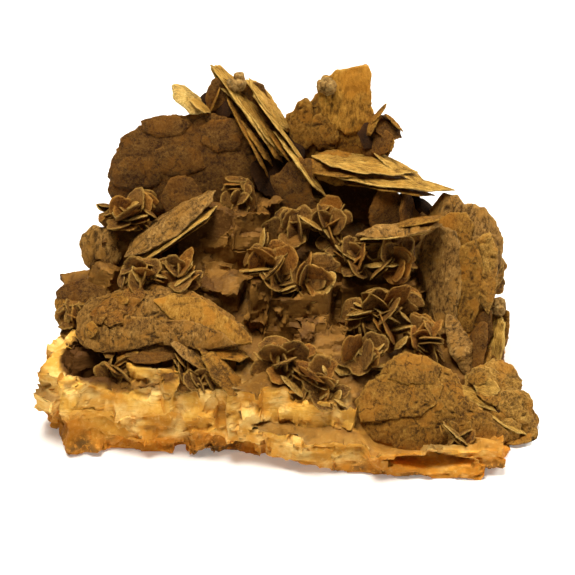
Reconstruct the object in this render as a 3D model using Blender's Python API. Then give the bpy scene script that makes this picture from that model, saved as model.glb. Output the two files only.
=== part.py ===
"""A siderite specimen: lens-shaped blades and rosettes of thin plates grown on a blocky matrix.

Each crystal, or each clump of crystals that grew through one another, is one object.
Tables are in millimetres and degrees. The model is metres, +Z up, with X along the longest side,
-Y at the front, and the origin under the middle of the specimen, on its flat underside.
"""

import math
import random

import bmesh
import bpy
from mathutils import Matrix, Vector, noise

MM = 0.001
GAP = 0.3  # clearance that a crystal keeps from its neighbours
MIDDLE = (-0.4, -1.2)  # centre of the footprint in the tables' coordinates
FLATNESS = 1e-4  # a face whose corners stray further than this is split in triangles
GOLDEN_TURN = math.radians(137.5)

BLADE_BROWN = (0.26, 0.13, 0.045)
ROSETTE_BROWN = (0.32, 0.17, 0.06)
MATRIX_CREAM = (0.72, 0.47, 0.20)

# The foot of the matrix, as x and y round its edge, and the height of its top on a few rows of y.
FOOT = (
    (45, -4), (45, 10), (38, 20), (24, 27), (4, 29), (-16, 28), (-32, 24), (-42, 14), (-45, 0),
    (-48, -12), (-40, -20), (-25, -22), (-10, -25), (0, -26), (12, -31), (29, -33), (41, -29),
    (47, -19),
)
FOOT_MIDDLE = (0, -2)
TOP_X = (-48, -22, 0, 22, 46)
TOP_ROWS = (
    (-32, (8, 12, 11, 6, 3)),
    (-20, (12, 15, 14, 11, 5)),
    (-7, (17, 22, 18, 15, 9)),
    (6, (20, 28, 25, 22, 13)),
    (18, (16, 32, 32, 28, 17)),
    (28, (9, 16, 19, 17, 9)),
)
MATRIX_CUTS = 5
MATRIX_ROUGH = 1.1  # how far the broken faces stand out of true
NOISE_STEP = Vector((31.7, 12.3, 47.1))

# Blocky crystals of the matrix: centre, size, and turns about Z, X and Y.
BLOCKS = (
    ((-26.5, -17.5, 11.5), (10, 10, 18), (-14, 4, 0)),
    ((-28.5, -21.8, 7.6), (13, 7, 15), (-6, 3, 2)),
    ((-16.0, -21.0, 8.0), (9, 9, 15), (16, -6, 4)),
    ((-8.0, -21.5, 8.5), (9, 10, 17), (-24, 8, 3)),
    ((-2.0, -21.5, 11.5), (5, 8, 10), (8, 0, 0)),
    ((5.5, -23.0, 9.5), (10, 8, 9), (6, -4, 3)),
    ((10.0, -27.5, 3.6), (28, 7, 6), (-9, 0, 6)),
    ((28.0, -28.5, 3.8), (27, 7, 3), (0, -5, 3)),
    ((23.0, -30.5, 1.9), (28, 5, 3), (-4, 6, 2)),
    ((-44.0, -13.0, 4.6), (8, 9, 8), (12, 0, -3)),
    ((-43.2, -8.0, 11.4), (7, 13, 12), (-20, 6, 14)),
    ((-37.5, -20.8, 7.8), (14, 8, 15), (14, -3, -2)),
    ((-43.0, -14.6, 10.4), (6, 13, 14), (-31, 14, 8)),
    ((-14.5, 10.0, 24.0), (15, 12, 20), (-8, -6, 5)),
    ((-5.5, 14.0, 29.0), (9, 9, 14), (14, 4, -6)),
    ((-4.5, -3.5, 18.5), (7, 9, 13), (5, 0, 0)),
    ((3.5, -5.0, 18.0), (10, 10, 12), (-7, 3, 2)),
    ((5.5, -12.5, 14.5), (10, 8, 10), (8, 24, 4)),
    ((-14.0, -1.0, 21.5), (9, 7, 9), (-20, 12, 8)),
    ((12.5, -20.5, 10.5), (13, 9, 7), (-10, 22, 8)),
    ((30.0, 8.0, 13.0), (16, 16, 17), (20, 4, 6)),
    ((18.0, 19.0, 16.0), (14, 12, 22), (-15, -5, 0)),
    ((-6.0, 22.0, 13.0), (17, 10, 22), (8, -7, 4)),
    ((-27.0, 17.0, 14.0), (15, 12, 22), (-20, 5, -6)),
    ((-38.5, 6.0, 9.0), (10, 12, 15), (12, 4, 8)),
    ((36.5, -6.0, 5.0), (11, 13, 8), (-12, 3, 4)),
    ((17.0, 1.5, 19.5), (15, 8, 9), (8, -8, 3)),
    ((-31.0, 9.0, 24.0), (12, 10, 12), (-12, 5, 4)),
    ((33.0, 15.0, 9.0), (12, 12, 14), (32, 0, -7)),
    ((9.0, 21.0, 28.0), (22, 9, 22), (-6, -4, 0)),
)
POINTED_CRYSTAL = ((-38.0, 1.5, 20.0), 6.5, 16.0)  # centre, foot radius and height
CAVITY = ((-36.5, -17.6, 17.0), (7.6, 6.4, 6.4))  # centre and radii of the hollow at the left

# Outlines: how far the rim reaches, as a share of the half width and half height, every 30 degrees
# from the blade's right.
ROUND = (1.0, 0.95, 1.02, 0.95, 1.03, 0.96, 1.0, 0.95, 1.02, 0.96, 0.98, 1.02)
LENS = (1.0, 0.92, 0.86, 1.0, 0.84, 0.93, 1.0, 0.9, 0.84, 1.0, 0.85, 0.92)
HOOF = (0.85, 1.02, 0.94, 0.87, 1.07, 1.03, 0.97, 0.85, 0.87, 1.05, 1.28, 0.97)
ROOF = (0.84, 0.7, 0.74, 0.8, 0.96, 1.05, 1.02, 1.04, 0.62, 0.54, 0.62, 0.92)
BROAD = (0.98, 0.92, 0.98, 0.9, 0.86, 0.94, 0.94, 1.08, 0.85, 0.82, 0.85, 0.85)
TORN = (0.81, 0.74, 1.12, 0.91, 0.75, 0.83, 1.01, 0.94, 0.88, 0.88, 0.95, 1.03)
FAN = (0.62, 0.54, 0.72, 0.95, 1.05, 1.01, 0.98, 0.91, 0.8, 0.8, 0.94, 1.14)

# Blades of each clump: centre; turn about Z, tilt back from upright and spin; half width and half
# height; thickness; how far the rim bends back; and the outline.
BLADES = {
    "upper_left_blade": (
        ((-21.3, 16.0, 40.0), (-6, 14, 0), (16.0, 12.5), 1.6, 1.2, BROAD),
        ((-19.4, 19.6, 51.6), (100, 55, -13), (3.6, 6.2), 1.2, 0.2, LENS),
        ((-25.0, 19.2, 49.8), (20, 50, 0), (3.2, 3.0), 1.6, 0.2, ROUND),
    ),
    "steep_blades": (
        ((-8.4, 19.5, 51.5), (97, 34, -17), (6.0, 11.0), 1.3, 0.4, LENS),
        ((-6.7, 20.2, 51.5), (103, 38, -17), (6.0, 7.8), 1.2, 0.3, LENS),
        ((-3.2, 19.4, 51.6), (92, 36, -15), (6.0, 8.8), 1.2, 0.3, LENS),
        ((1.6, 15.4, 44.2), (96, 40, -18), (6.4, 11.0), 1.3, 0.4, LENS),
        ((-8.2, 18.4, 46.0), (89, 27, -20), (5.4, 8.5), 1.2, 0.2, LENS),
        ((-14.4, 21.3, 53.6), (24, 8, -13), (2.6, 4.2), 1.2, 0.2, ROUND),
        ((-10.0, 22.6, 48.6), (12, 6, 0), (4.6, 7.6), 1.2, 0.3, ROUND),
        ((1.4, 11.0, 38.2), (-25, 10, 0), (6.4, 10.0), 1.5, 0.4, TORN),
        ((-3.4, 17.2, 45.4), (92, 34, -16), (4.2, 7.6), 3.2, 0.0, LENS),
    ),
    "upper_right_blade": (
        ((9.8, 22.0, 45.0), (4, 10, 0), (10.8, 14.0), 1.6, 1.0, TORN),
        ((19.6, 20.4, 47.6), (12, 20, 26), (3.4, 4.2), 1.2, 0.2, ROUND),
        ((17.2, 20.8, 48.6), (-52, 25, -23), (3.2, 4.4), 1.2, 0.2, LENS),
        ((17.8, 19.8, 43.6), (24, 20, 0), (3.6, 3.4), 1.3, 0.2, ROUND),
    ),
    "shelf_blades": (
        ((18.7, 13.4, 39.9), (12, 72, -110), (5.6, 14.9), 1.3, 0.5, LENS),
        ((14.6, 14.4, 42.2), (14, 72, -112), (5.4, 11.2), 1.2, 0.4, LENS),
        ((9.4, 15.4, 41.6), (18, 66, -106), (4.6, 6.6), 2.4, 0.3, LENS),
    ),
    "hanging_blades": (
        ((19.6, 8.5, 33.6), (10, 15, 0), (3.8, 5.6), 1.2, 0.3, ROUND),
        ((24.0, 9.4, 33.2), (66, 12, 0), (3.8, 5.4), 1.1, 0.2, LENS),
        ((22.0, 10.6, 30.0), (-24, 20, 0), (5.4, 4.6), 1.6, 0.2, ROUND),
    ),
    "mid_shelf_blade": (
        ((20.8, 2.4, 35.3), (-24, 67, -57), (4.2, 9.4), 1.3, 0.5, LENS),
    ),
    "right_blades": (
        ((33.2, 1.6, 24.0), (-14, 26, 0), (9.4, 16.4), 2.2, 3.0, HOOF),
        ((37.2, 5.0, 24.0), (16, 22, 0), (7.0, 13.0), 2.0, 1.2, ROUND),
        ((37.2, -4.2, 12.0), (34, 22, 0), (4.6, 8.4), 1.6, 0.8, LENS),
        ((39.4, -2.2, 13.0), (44, 14, 0), (4.4, 8.8), 1.5, 0.6, LENS),
    ),
    "lower_right_blade": (
        ((27.4, -24.8, 10.0), (8, 38, 0), (14.6, 10.8), 1.8, 1.6, FAN),
        ((31.4, -28.4, 6.8), (60, 20, 0), (2.0, 3.0), 0.9, 0.0, LENS),
        ((33.4, -28.0, 6.6), (-40, 30, 0), (2.0, 2.8), 0.9, 0.0, LENS),
    ),
    "right_corner_blades": (
        ((40.4, -14.2, 8.2), (14, 48, 0), (6.4, 5.6), 1.5, 0.6, ROUND),
        ((43.4, -19.2, 4.2), (24, 38, 0), (6.0, 6.0), 1.7, 0.6, ROUND),
        ((42.0, -16.6, 6.2), (40, 60, 0), (5.0, 5.4), 1.8, 0.4, ROUND),
    ),
    "front_left_blades": (
        ((-23.8, -15.4, 24.3), (-4, 54, 0), (17.4, 9.4), 2.0, 2.6, ROOF),
        ((-14.6, -20.0, 18.6), (29, 42, 4), (4.6, 8.0), 1.5, 0.9, LENS),
        ((-26.6, -19.4, 19.9), (-5, 40, 0), (6.8, 3.8), 1.5, 0.6, LENS),
    ),
    "diagonal_blade": (
        ((-24.0, 4.5, 34.0), (-103, 58, 29), (7.0, 12.4), 1.6, 0.6, LENS),
    ),
    "half_disc_blade": (
        ((-21.8, 11.0, 36.4), (-4, 25, 0), (3.9, 4.4), 1.2, 0.3, ROUND),
    ),
    "left_disc_blade": (
        ((-38.3, 6.0, 27.4), (-18, 24, 0), (4.7, 4.6), 1.4, 0.5, ROUND),
    ),
    "left_cap_blades": (
        ((-41.4, -2.4, 21.7), (-10, 58, 0), (5.4, 4.0), 1.6, 0.7, LENS),
        ((-42.6, -4.0, 20.4), (-20, 66, 0), (4.6, 3.4), 1.4, 0.3, LENS),
    ),
    "back_left_blade": (
        ((-25.0, 24.6, 22.0), (172, 28, 0), (10.0, 8.5), 1.7, 1.4, BROAD),
    ),
    "back_right_blade": (
        ((21.0, 25.0, 20.0), (196, 26, 0), (9.0, 10.0), 1.7, 1.4, HOOF),
    ),
}

# Scales: thin plates lying on one of a clump's blades, as the blade's number, how far across and
# up its face they lie, and their half width and half height.
SCALES = {
    "upper_left_blade": ((0, 9.6, 6.6, 5.6, 5.0), (0, -7.0, -2.0, 7.0, 6.0)),
    "upper_right_blade": ((0, -2.0, 3.2, 5.2, 6.6), (0, 4.6, -2.0, 4.8, 6.4)),
    "right_blades": ((0, 2.6, 8.2, 5.2, 6.2), (0, -2.8, 1.0, 4.8, 8.4), (0, 3.4, -4.4, 4.6, 7.6)),
    "lower_right_blade": ((0, 0.6, 2.4, 7.8, 6.2),),
    "right_corner_blades": ((1, 1.4, 1.6, 3.8, 3.6),),
    "front_left_blades": ((0, 6.4, 2.8, 8.8, 4.2), (0, -9.4, -0.4, 6.0, 4.6)),
    "diagonal_blade": ((0, 0.4, 3.4, 4.8, 7.2),),
    "back_left_blade": ((0, 2.6, 2.0, 5.6, 5.0),),
    "back_right_blade": ((0, -2.0, 2.4, 5.0, 5.4),),
}
SCALE_THICKNESS = 1.0
SCALE_SINK = 0.15

# Crumbs of fine crystals on the blades: centre and radius.
CRUMBS = {
    "steep_blades": (((-11.4, 21.6, 57.0), 2.0),),
    "upper_right_blade": (((6.6, 23.4, 56.2), 2.5),),
    "right_blades": (((41.4, -0.4, 18.0), 2.2),),
}

# Rosettes: for each clump its centres, each with a radius, a count of plates, a seed and the way
# it faces, as a turn about Z and a tilt up.
ROSETTES = {
    "upper_left_rosette": (((-32.3, 8.2, 33.4), 7.2, 5, 3, (-20, 50)),),
    "left_rosette": (
        ((-28.6, -5.8, 28.4), 5.8, 5, 11, (-20, 50)),
        ((-21.6, -5.4, 28.8), 5.8, 4, 12, (10, 50)),
    ),
    "centre_rosette": (
        ((-3.6, -4.0, 28.8), 7.6, 5, 21, (-10, 40)),
        ((3.0, -5.2, 27.0), 6.6, 4, 22, (30, 30)),
    ),
    "upper_centre_rosette": (
        ((1.2, 5.6, 32.4), 6.6, 5, 31, (-10, 40)),
        ((7.4, 6.6, 32.2), 6.2, 4, 32, (20, 50)),
    ),
    "right_rosette": (
        ((13.4, 1.2, 27.6), 6.6, 5, 41, (-10, 50)),
        ((20.6, 1.6, 27.2), 6.6, 4, 42, (20, 50)),
    ),
    "lower_right_rosette": (
        ((18.4, -7.2, 20.6), 8.0, 5, 51, (-6, 40)),
        ((25.8, -11.4, 16.6), 6.8, 4, 52, (14, 36)),
    ),
    "front_rosette": (
        ((-1.7, -19.8, 17.6), 6.8, 5, 61, (-10, 40)),
        ((5.0, -22.6, 15.4), 6.4, 4, 62, (16, 30)),
    ),
    "petal_rosette": (((13.6, -15.8, 16.6), 6.8, 5, 71, (0, 40)),),
    "horseshoe_rosette": (((-10.0, 10.2, 36.8), 4.4, 5, 81, (0, 20)),),
    "front_left_rosette": (((-17.6, -23.2, 16.2), 5.0, 5, 91, (0, 10)),),
    "cavity_rosette": (((-33.2, -20.4, 16.2), 4.8, 5, 101, (10, 20)),),
    "left_edge_rosette": (((-42.0, -8.0, 19.4), 5.0, 5, 111, (-40, 50)),),
    "right_side_rosette": (((38.6, 11.0, 17.0), 6.0, 5, 122, (90, 30)),),
    "back_rosette": (((-2.0, 26.0, 22.0), 6.6, 5, 133, (180, 40)),),
}
PETAL_LENGTH = 0.56  # a small plate's half height, as a share of its rosette's radius
PETAL_WIDTH = 0.5
PETAL_THICKNESS = 0.9
PETAL_REACH = 0.5  # how far out its centre lies
HEART = 0.26  # half width of the solid middle that the plates grow from

BLADE_SIDES = 12
BLADE_RINGS = 3
SCALE_SIDES = 8
PETAL_SIDES = 5


def remove_everything():
    """Empty the scene before the specimen is built."""
    for item in list(bpy.data.objects):
        bpy.data.objects.remove(item, do_unlink=True)


def collection(name):
    """A new collection of the scene."""
    group = bpy.data.collections.new(name)
    bpy.context.scene.collection.children.link(group)
    return group


def crystal_frame(turn, tilt, spin=0):
    """Right, up and facing directions of a blade turned about Z, tilted back and spun in its plane."""
    upright = Matrix.Rotation(math.radians(turn), 3, "Z") @ Matrix.Rotation(math.radians(90 - tilt), 3, "X")
    return upright @ Matrix.Rotation(math.radians(spin), 3, "Z")


def off_plane(face, vert):
    """How far a corner lies off its face's own plane."""
    face.normal_update()
    return abs(face.normal.dot(vert.co - face.calc_center_median()))


def add_object(name, bm, group, place=None):
    """A mesh object from millimetre geometry, at its place in metres."""
    uneven = [face for face in bm.faces if any(off_plane(face, vert) > FLATNESS for vert in face.verts)]
    bmesh.ops.triangulate(bm, faces=uneven)
    bmesh.ops.recalc_face_normals(bm, faces=bm.faces)
    bmesh.ops.transform(bm, matrix=Matrix.Scale(MM, 4), verts=bm.verts)
    mesh = bpy.data.meshes.new(name)
    bm.to_mesh(mesh)
    bm.free()
    item = bpy.data.objects.new(name, mesh)
    group.objects.link(item)
    if place is not None:
        spot = place.copy()
        spot.translation = place.translation * MM
        item.matrix_world = spot
    return item


def placed(centre, frame):
    """A placement matrix in millimetres, measured from the middle of the foot."""
    spot = frame.to_4x4()
    spot.translation = Vector(centre) - Vector((MIDDLE[0], MIDDLE[1], 0))
    return spot


def rim_reach(outline, angle):
    """The outline's reach at an angle, eased between its values."""
    step = angle / math.tau % 1.0 * len(outline)
    first = int(step) % len(outline)
    share = (1 - math.cos((step - int(step)) * math.pi)) / 2
    return outline[first] * (1 - share) + outline[(first + 1) % len(outline)] * share


def blade_mesh(size, thick, bend, outline, grow=0.0, sides=BLADE_SIDES):
    """A flat lens: a sphere drawn out to the outline, flattened, with its rim bent back."""
    bm = bmesh.new()
    bmesh.ops.create_uvsphere(bm, u_segments=sides, v_segments=BLADE_RINGS, radius=1)
    widest = max(math.hypot(vert.co.x, vert.co.y) for vert in bm.verts)
    for vert in bm.verts:
        across, along, deep = vert.co
        angle = math.atan2(along, across)
        reach = math.hypot(across, along) / widest * rim_reach(outline, angle)
        plate = math.copysign(abs(deep) ** 0.6, deep) * (thick / 2 + grow)
        vert.co.x = reach * math.cos(angle) * (size[0] + grow)
        vert.co.y = reach * math.sin(angle) * (size[1] + grow)
        vert.co.z = plate - bend * reach * reach
    return bm


def plate_mesh(size, grow=0.0):
    """A small flat plate with straight sides: a short prism on an uneven outline."""
    bm = bmesh.new()
    bmesh.ops.create_cone(bm, cap_ends=True, segments=PETAL_SIDES, radius1=1, radius2=1, depth=1)
    for vert in bm.verts:
        across, along, deep = vert.co
        angle = math.atan2(along, across)
        reach = rim_reach(ROUND, angle)
        vert.co.x = reach * math.cos(angle) * (size[0] + grow)
        vert.co.y = reach * math.sin(angle) * (size[1] + grow)
        vert.co.z = deep * (PETAL_THICKNESS + 2 * grow)
    return bm


def add_blade(name, blade, group, grow=0.0):
    """One large blade in its place."""
    centre, facing, size, thick, bend, outline = blade
    bm = blade_mesh(size, thick, bend, outline, grow)
    return add_object(name, bm, group, placed(centre, crystal_frame(*facing)))


def add_scale(clump, scale, group, grow=0.0):
    """A thin plate lying on the curved face of one of the clump's blades."""
    number, across, up, half_width, half_height = scale
    centre, facing, size, thick, bend, _ = BLADES[clump][number]
    frame = crystal_frame(*facing)
    share = math.hypot(across / size[0], up / size[1])
    out = thick / 2 - bend * share * share + SCALE_SINK
    spot = Vector(centre) + frame @ Vector((across, up, out))
    bm = blade_mesh((half_width, half_height), SCALE_THICKNESS, 0.4, ROUND, grow, SCALE_SIDES)
    return add_object("scale", bm, group, placed(spot, frame))


def add_crumb(crumb, group, grow=0.0):
    """A small rough lump of fine crystals."""
    centre, radius = crumb
    bm = bmesh.new()
    bmesh.ops.create_icosphere(bm, subdivisions=1, radius=radius)
    for vert in bm.verts:
        rough = 1 + 0.3 * noise.noise(vert.co * 0.9 + NOISE_STEP)
        vert.co = vert.co.normalized() * (radius * rough + grow)
    return add_object("crumb", bm, group, placed(centre, Matrix.Identity(3)))


def petals(centre, radius, count, seed, facing):
    """Places of a rosette's small plates: each leans out from the middle and twists about its stem."""
    draw = random.Random(seed)
    axes = crystal_frame(*facing)
    right, up, out = axes.col[0], axes.col[1], axes.col[2]
    for number in range(count):
        share = (number + 0.5) / count
        lean = math.radians(12 + 74 * share)
        turn = number * GOLDEN_TURN + draw.uniform(-0.3, 0.3)
        side = right * math.cos(turn) + up * math.sin(turn)
        stem = (out * math.cos(lean) + side * math.sin(lean)).normalized()
        edge = stem.cross(out).normalized()
        twist = math.radians(draw.gauss(0, 38))
        flat = (Matrix.Rotation(twist, 3, stem) @ stem.cross(edge)).normalized()
        across = stem.cross(flat).normalized()
        size = radius * draw.uniform(0.85, 1.15)
        frame = Matrix((across, stem, flat)).transposed()
        yield Vector(centre) + stem * size * PETAL_REACH, frame, size


def add_rosette(name, rosette, group, grow=0.0):
    """The plates of one rosette, with the solid middle that they grow from, as separate objects."""
    centre, radius, count, seed, facing = rosette
    bm = bmesh.new()
    bmesh.ops.create_cube(bm, size=2 * (radius * HEART + grow))
    pieces = [add_object(name, bm, group, placed(centre, crystal_frame(*facing)))]
    for spot, frame, size in petals(centre, radius, count, seed, facing):
        half = (size * PETAL_WIDTH, size * PETAL_LENGTH)
        pieces.append(add_object(name, plate_mesh(half, grow), group, placed(spot, frame)))
    return pieces


def add_links(rosettes, group, grow=0.0):
    """A lump of crystal between each two middles of a clump that has more than one."""
    links = []
    for first, second in zip(rosettes, rosettes[1:]):
        middle = (Vector(first[0]) + Vector(second[0])) / 2
        radius = (Vector(first[0]) - Vector(second[0])).length / 2
        bm = bmesh.new()
        bmesh.ops.create_cube(bm, size=1.4 * radius + 2 * grow)
        links.append(add_object("link", bm, group, placed(middle, crystal_frame(*first[4]))))
    return links


def edge_reach(angle):
    """Distance from the middle of the foot to its edge in one direction."""
    ray = Vector((math.cos(angle), math.sin(angle)))
    middle = Vector(FOOT_MIDDLE)
    for number, corner in enumerate(FOOT):
        start = Vector(corner) - middle
        side = Vector(FOOT[(number + 1) % len(FOOT)]) - middle - start
        slope = ray.x * side.y - ray.y * side.x
        if abs(slope) < 1e-9:
            continue
        reach = (start.x * side.y - start.y * side.x) / slope
        share = (start.x * ray.y - start.y * ray.x) / slope
        if reach > 0 and -1e-6 <= share <= 1 + 1e-6:
            return reach
    return 0.0


def blend(values, places, at):
    """Straight-line reading of a row of values."""
    at = min(max(at, places[0]), places[-1])
    for number in range(len(places) - 1):
        if at <= places[number + 1]:
            share = (at - places[number]) / (places[number + 1] - places[number])
            return values[number] * (1 - share) + values[number + 1] * share
    return values[-1]


def top_height(x, y):
    """Height of the matrix at a place on its foot."""
    rows = [blend(heights, TOP_X, x) for _, heights in TOP_ROWS]
    return blend(rows, [place for place, _ in TOP_ROWS], y)


def add_matrix_body(group, grow=0.0):
    """The lump: a subdivided cube drawn out to the foot's outline and up to the top's height."""
    bm = bmesh.new()
    bmesh.ops.create_cube(bm, size=2)
    bmesh.ops.subdivide_edges(bm, edges=bm.edges, cuts=MATRIX_CUTS, use_grid_fill=True)
    for vert in bm.verts:
        a, b, c = vert.co
        share = max(abs(a), abs(b))
        angle = math.atan2(b, a)
        rise = (c + 1) / 2
        reach = share * edge_reach(angle) * (1 - 0.1 * rise * rise)
        x = FOOT_MIDDLE[0] + reach * math.cos(angle)
        y = FOOT_MIDDLE[1] + reach * math.sin(angle)
        z = top_height(x, y) * rise
        if rise > 0:
            spot = Vector((x, y, z)) * 0.17
            x += noise.noise(spot) * MATRIX_ROUGH * 2
            y += noise.noise(spot + NOISE_STEP) * MATRIX_ROUGH * 2
            z += noise.noise(spot - NOISE_STEP) * MATRIX_ROUGH * 2 * min(rise * 2, 1)
        vert.co = (x, y, z)
    bm.normal_update()
    if grow:
        pushes = [(vert, vert.normal * grow) for vert in bm.verts]
        for vert, push in pushes:
            vert.co += push
    return add_object("matrix", bm, group, placed((0, 0, 0), Matrix.Identity(3)))


def add_block(block, group, grow=0.0):
    """One cleavage block: a leaning box."""
    centre, size, turns = block
    spin, tip, roll = (math.radians(turn) for turn in turns)
    bm = bmesh.new()
    bmesh.ops.create_cube(bm, size=1)
    for vert in bm.verts:
        vert.co = [vert.co[i] * (size[i] + 2 * grow) for i in range(3)]
    frame = Matrix.Rotation(spin, 3, "Z") @ Matrix.Rotation(tip, 3, "X") @ Matrix.Rotation(roll, 3, "Y")
    return add_object("block", bm, group, placed(centre, frame))


def add_pointed_crystal(group, grow=0.0):
    """The four-sided pointed crystal at the left."""
    centre, radius, height = POINTED_CRYSTAL
    bm = bmesh.new()
    bmesh.ops.create_cone(
        bm, cap_ends=True, segments=4, radius1=radius + grow, radius2=0.6 + grow, depth=height + grow
    )
    return add_object("pointed", bm, group, placed(centre, Matrix.Rotation(0.3, 3, "Z")))


def add_cavity(group, grow=0.0):
    """The rounded hollow beneath the front left blade."""
    centre, radii = CAVITY
    bm = bmesh.new()
    bmesh.ops.create_icosphere(bm, subdivisions=2, radius=1)
    for vert in bm.verts:
        vert.co = [vert.co[i] * (radii[i] - grow) for i in range(3)]
    return add_object("cavity", bm, group, placed(centre, Matrix.Identity(3)))


def add_floor_cutter(group):
    """A slab under the specimen that keeps its underside flat."""
    bm = bmesh.new()
    bmesh.ops.create_cube(bm, size=1)
    for vert in bm.verts:
        vert.co = (vert.co.x * 160, vert.co.y * 160, vert.co.z * 20 - 10)
    return add_object("underside", bm, group, placed((0, 0, 0), Matrix.Identity(3)))


def combine(target, tool, operation, keep_tool=False):
    """Join a closed shape to another, or cut it away, and keep the result as a plain mesh."""
    modifier = target.modifiers.new("combine", "BOOLEAN")
    modifier.solver = "EXACT"
    modifier.operation = operation
    modifier.object = tool
    bpy.context.view_layer.update()
    graph = bpy.context.evaluated_depsgraph_get()
    mesh = bpy.data.meshes.new_from_object(target.evaluated_get(graph))
    target.modifiers.clear()
    target.data = mesh
    if not keep_tool:
        bpy.data.objects.remove(tool, do_unlink=True)


def join_all(pieces):
    """Unite closed shapes in one solid."""
    first = pieces[0]
    for piece in pieces[1:]:
        combine(first, piece, "UNION")
    return first


def shells(bm):
    """The separate closed surfaces of a mesh, each as a list of its vertices."""
    for vert in bm.verts:
        vert.tag = False
    for start in bm.verts:
        if start.tag:
            continue
        start.tag = True
        found = [start]
        for vert in found:
            for edge in vert.link_edges:
                near = edge.other_vert(vert)
                if not near.tag:
                    near.tag = True
                    found.append(near)
        yield found


def shell_volume(shell):
    """Volume inside one closed surface."""
    total = 0.0
    for face in {face for vert in shell for face in vert.link_faces}:
        corners = [vert.co for vert in face.verts]
        for number in range(1, len(corners) - 1):
            total += corners[0].dot(corners[number].cross(corners[number + 1])) / 6
    return total


def keep_largest(item):
    """Drop the chips that a cut has left loose."""
    bm = bmesh.new()
    bm.from_mesh(item.data)
    found = sorted(shells(bm), key=shell_volume)
    chips = [vert for shell in found[:-1] for vert in shell]
    bmesh.ops.delete(bm, geom=chips, context="VERTS")
    bm.to_mesh(item.data)
    bm.free()


def build_clump(name, group, grow=0.0):
    """One named piece as a single solid, or, grown, the space that its neighbours keep clear of."""
    if name == "matrix":
        pieces = [add_matrix_body(group, grow)]
        pieces += [add_block(block, group, grow) for block in BLOCKS]
        pieces.append(add_pointed_crystal(group, grow))
        item = join_all(pieces)
        combine(item, add_cavity(group, grow), "DIFFERENCE")
    elif name in BLADES:
        pieces = [add_blade(name, blade, group, grow) for blade in BLADES[name]]
        pieces += [add_scale(name, scale, group, grow) for scale in SCALES.get(name, ())]
        pieces += [add_crumb(crumb, group, grow) for crumb in CRUMBS.get(name, ())]
        item = join_all(pieces)
    else:
        pieces = [piece for rosette in ROSETTES[name] for piece in add_rosette(name, rosette, group, grow)]
        pieces += add_links(ROSETTES[name], group, grow)
        item = join_all(pieces)
    item.name = name
    return item


def boxes_meet(first, second):
    """Whether two objects' bounding boxes overlap."""
    bounds = []
    for item in (first, second):
        corners = [item.matrix_world @ vert.co for vert in item.data.vertices]
        low = [min(corner[axis] for corner in corners) for axis in range(3)]
        high = [max(corner[axis] for corner in corners) for axis in range(3)]
        bounds.append((low, high))
    (low_1, high_1), (low_2, high_2) = bounds
    return all(low_1[axis] < high_2[axis] and low_2[axis] < high_1[axis] for axis in range(3))


def material(name, colour, roughness):
    """A plain stone finish."""
    finish = bpy.data.materials.new(name)
    finish.use_nodes = True
    shader = finish.node_tree.nodes["Principled BSDF"]
    shader.inputs["Base Color"].default_value = (*colour, 1)
    shader.inputs["Roughness"].default_value = roughness
    shader.inputs["Metallic"].default_value = 0
    return finish


def finish_for(name):
    """The clump's own material."""
    if name == "matrix":
        return material("matrix_stone", MATRIX_CREAM, 0.6)
    if name in BLADES:
        return material(name + "_siderite", BLADE_BROWN, 0.7)
    return material(name + "_siderite", ROSETTE_BROWN, 0.65)


def as_guide(item, name):
    """Mark an object as a cutter."""
    item.name = name
    item.hide_render = True
    item.display_type = "WIRE"


def main():
    remove_everything()
    parts = collection("siderite_specimen")
    cutters = collection("cutters")
    underside = add_floor_cutter(cutters)
    as_guide(underside, "underside")
    clearances = [underside]
    for name in ("matrix", *BLADES, *ROSETTES):
        item = build_clump(name, parts)
        bpy.context.view_layer.update()
        for cutter in clearances:
            if boxes_meet(item, cutter):
                combine(item, cutter, "DIFFERENCE", keep_tool=True)
        keep_largest(item)
        item.data.materials.clear()
        item.data.materials.append(finish_for(name))
        clearance = build_clump(name, cutters, GAP)
        as_guide(clearance, name + "_clearance")
        clearances.append(clearance)


main()
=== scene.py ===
"""The look of a siderite specimen: scaly lens-shaped blades and rosettes of thin plates on a blocky matrix.

Tables are in millimetres and degrees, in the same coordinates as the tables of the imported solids.
"""

import math
import random

import bmesh
import bpy
import numpy as np
from mathutils import Matrix, Vector
from mathutils.bvhtree import BVHTree
from mathutils.kdtree import KDTree


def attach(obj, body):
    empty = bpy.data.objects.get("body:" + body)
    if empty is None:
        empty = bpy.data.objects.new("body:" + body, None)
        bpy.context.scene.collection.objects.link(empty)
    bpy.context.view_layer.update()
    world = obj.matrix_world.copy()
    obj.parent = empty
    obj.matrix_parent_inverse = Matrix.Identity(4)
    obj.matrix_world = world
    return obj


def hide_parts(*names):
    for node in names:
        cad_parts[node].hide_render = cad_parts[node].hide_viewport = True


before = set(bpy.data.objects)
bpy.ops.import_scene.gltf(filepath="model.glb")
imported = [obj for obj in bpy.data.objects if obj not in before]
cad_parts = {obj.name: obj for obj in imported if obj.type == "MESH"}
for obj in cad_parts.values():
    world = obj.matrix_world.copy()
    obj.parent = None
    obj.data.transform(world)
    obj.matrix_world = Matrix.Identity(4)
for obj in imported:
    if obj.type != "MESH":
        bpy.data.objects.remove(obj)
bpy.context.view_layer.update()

MM = 0.001
MIDDLE = np.array((-0.4, -1.2, 0.0))  # centre of the footprint in the tables' coordinates
GOLDEN_TURN = math.radians(137.5)

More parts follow.
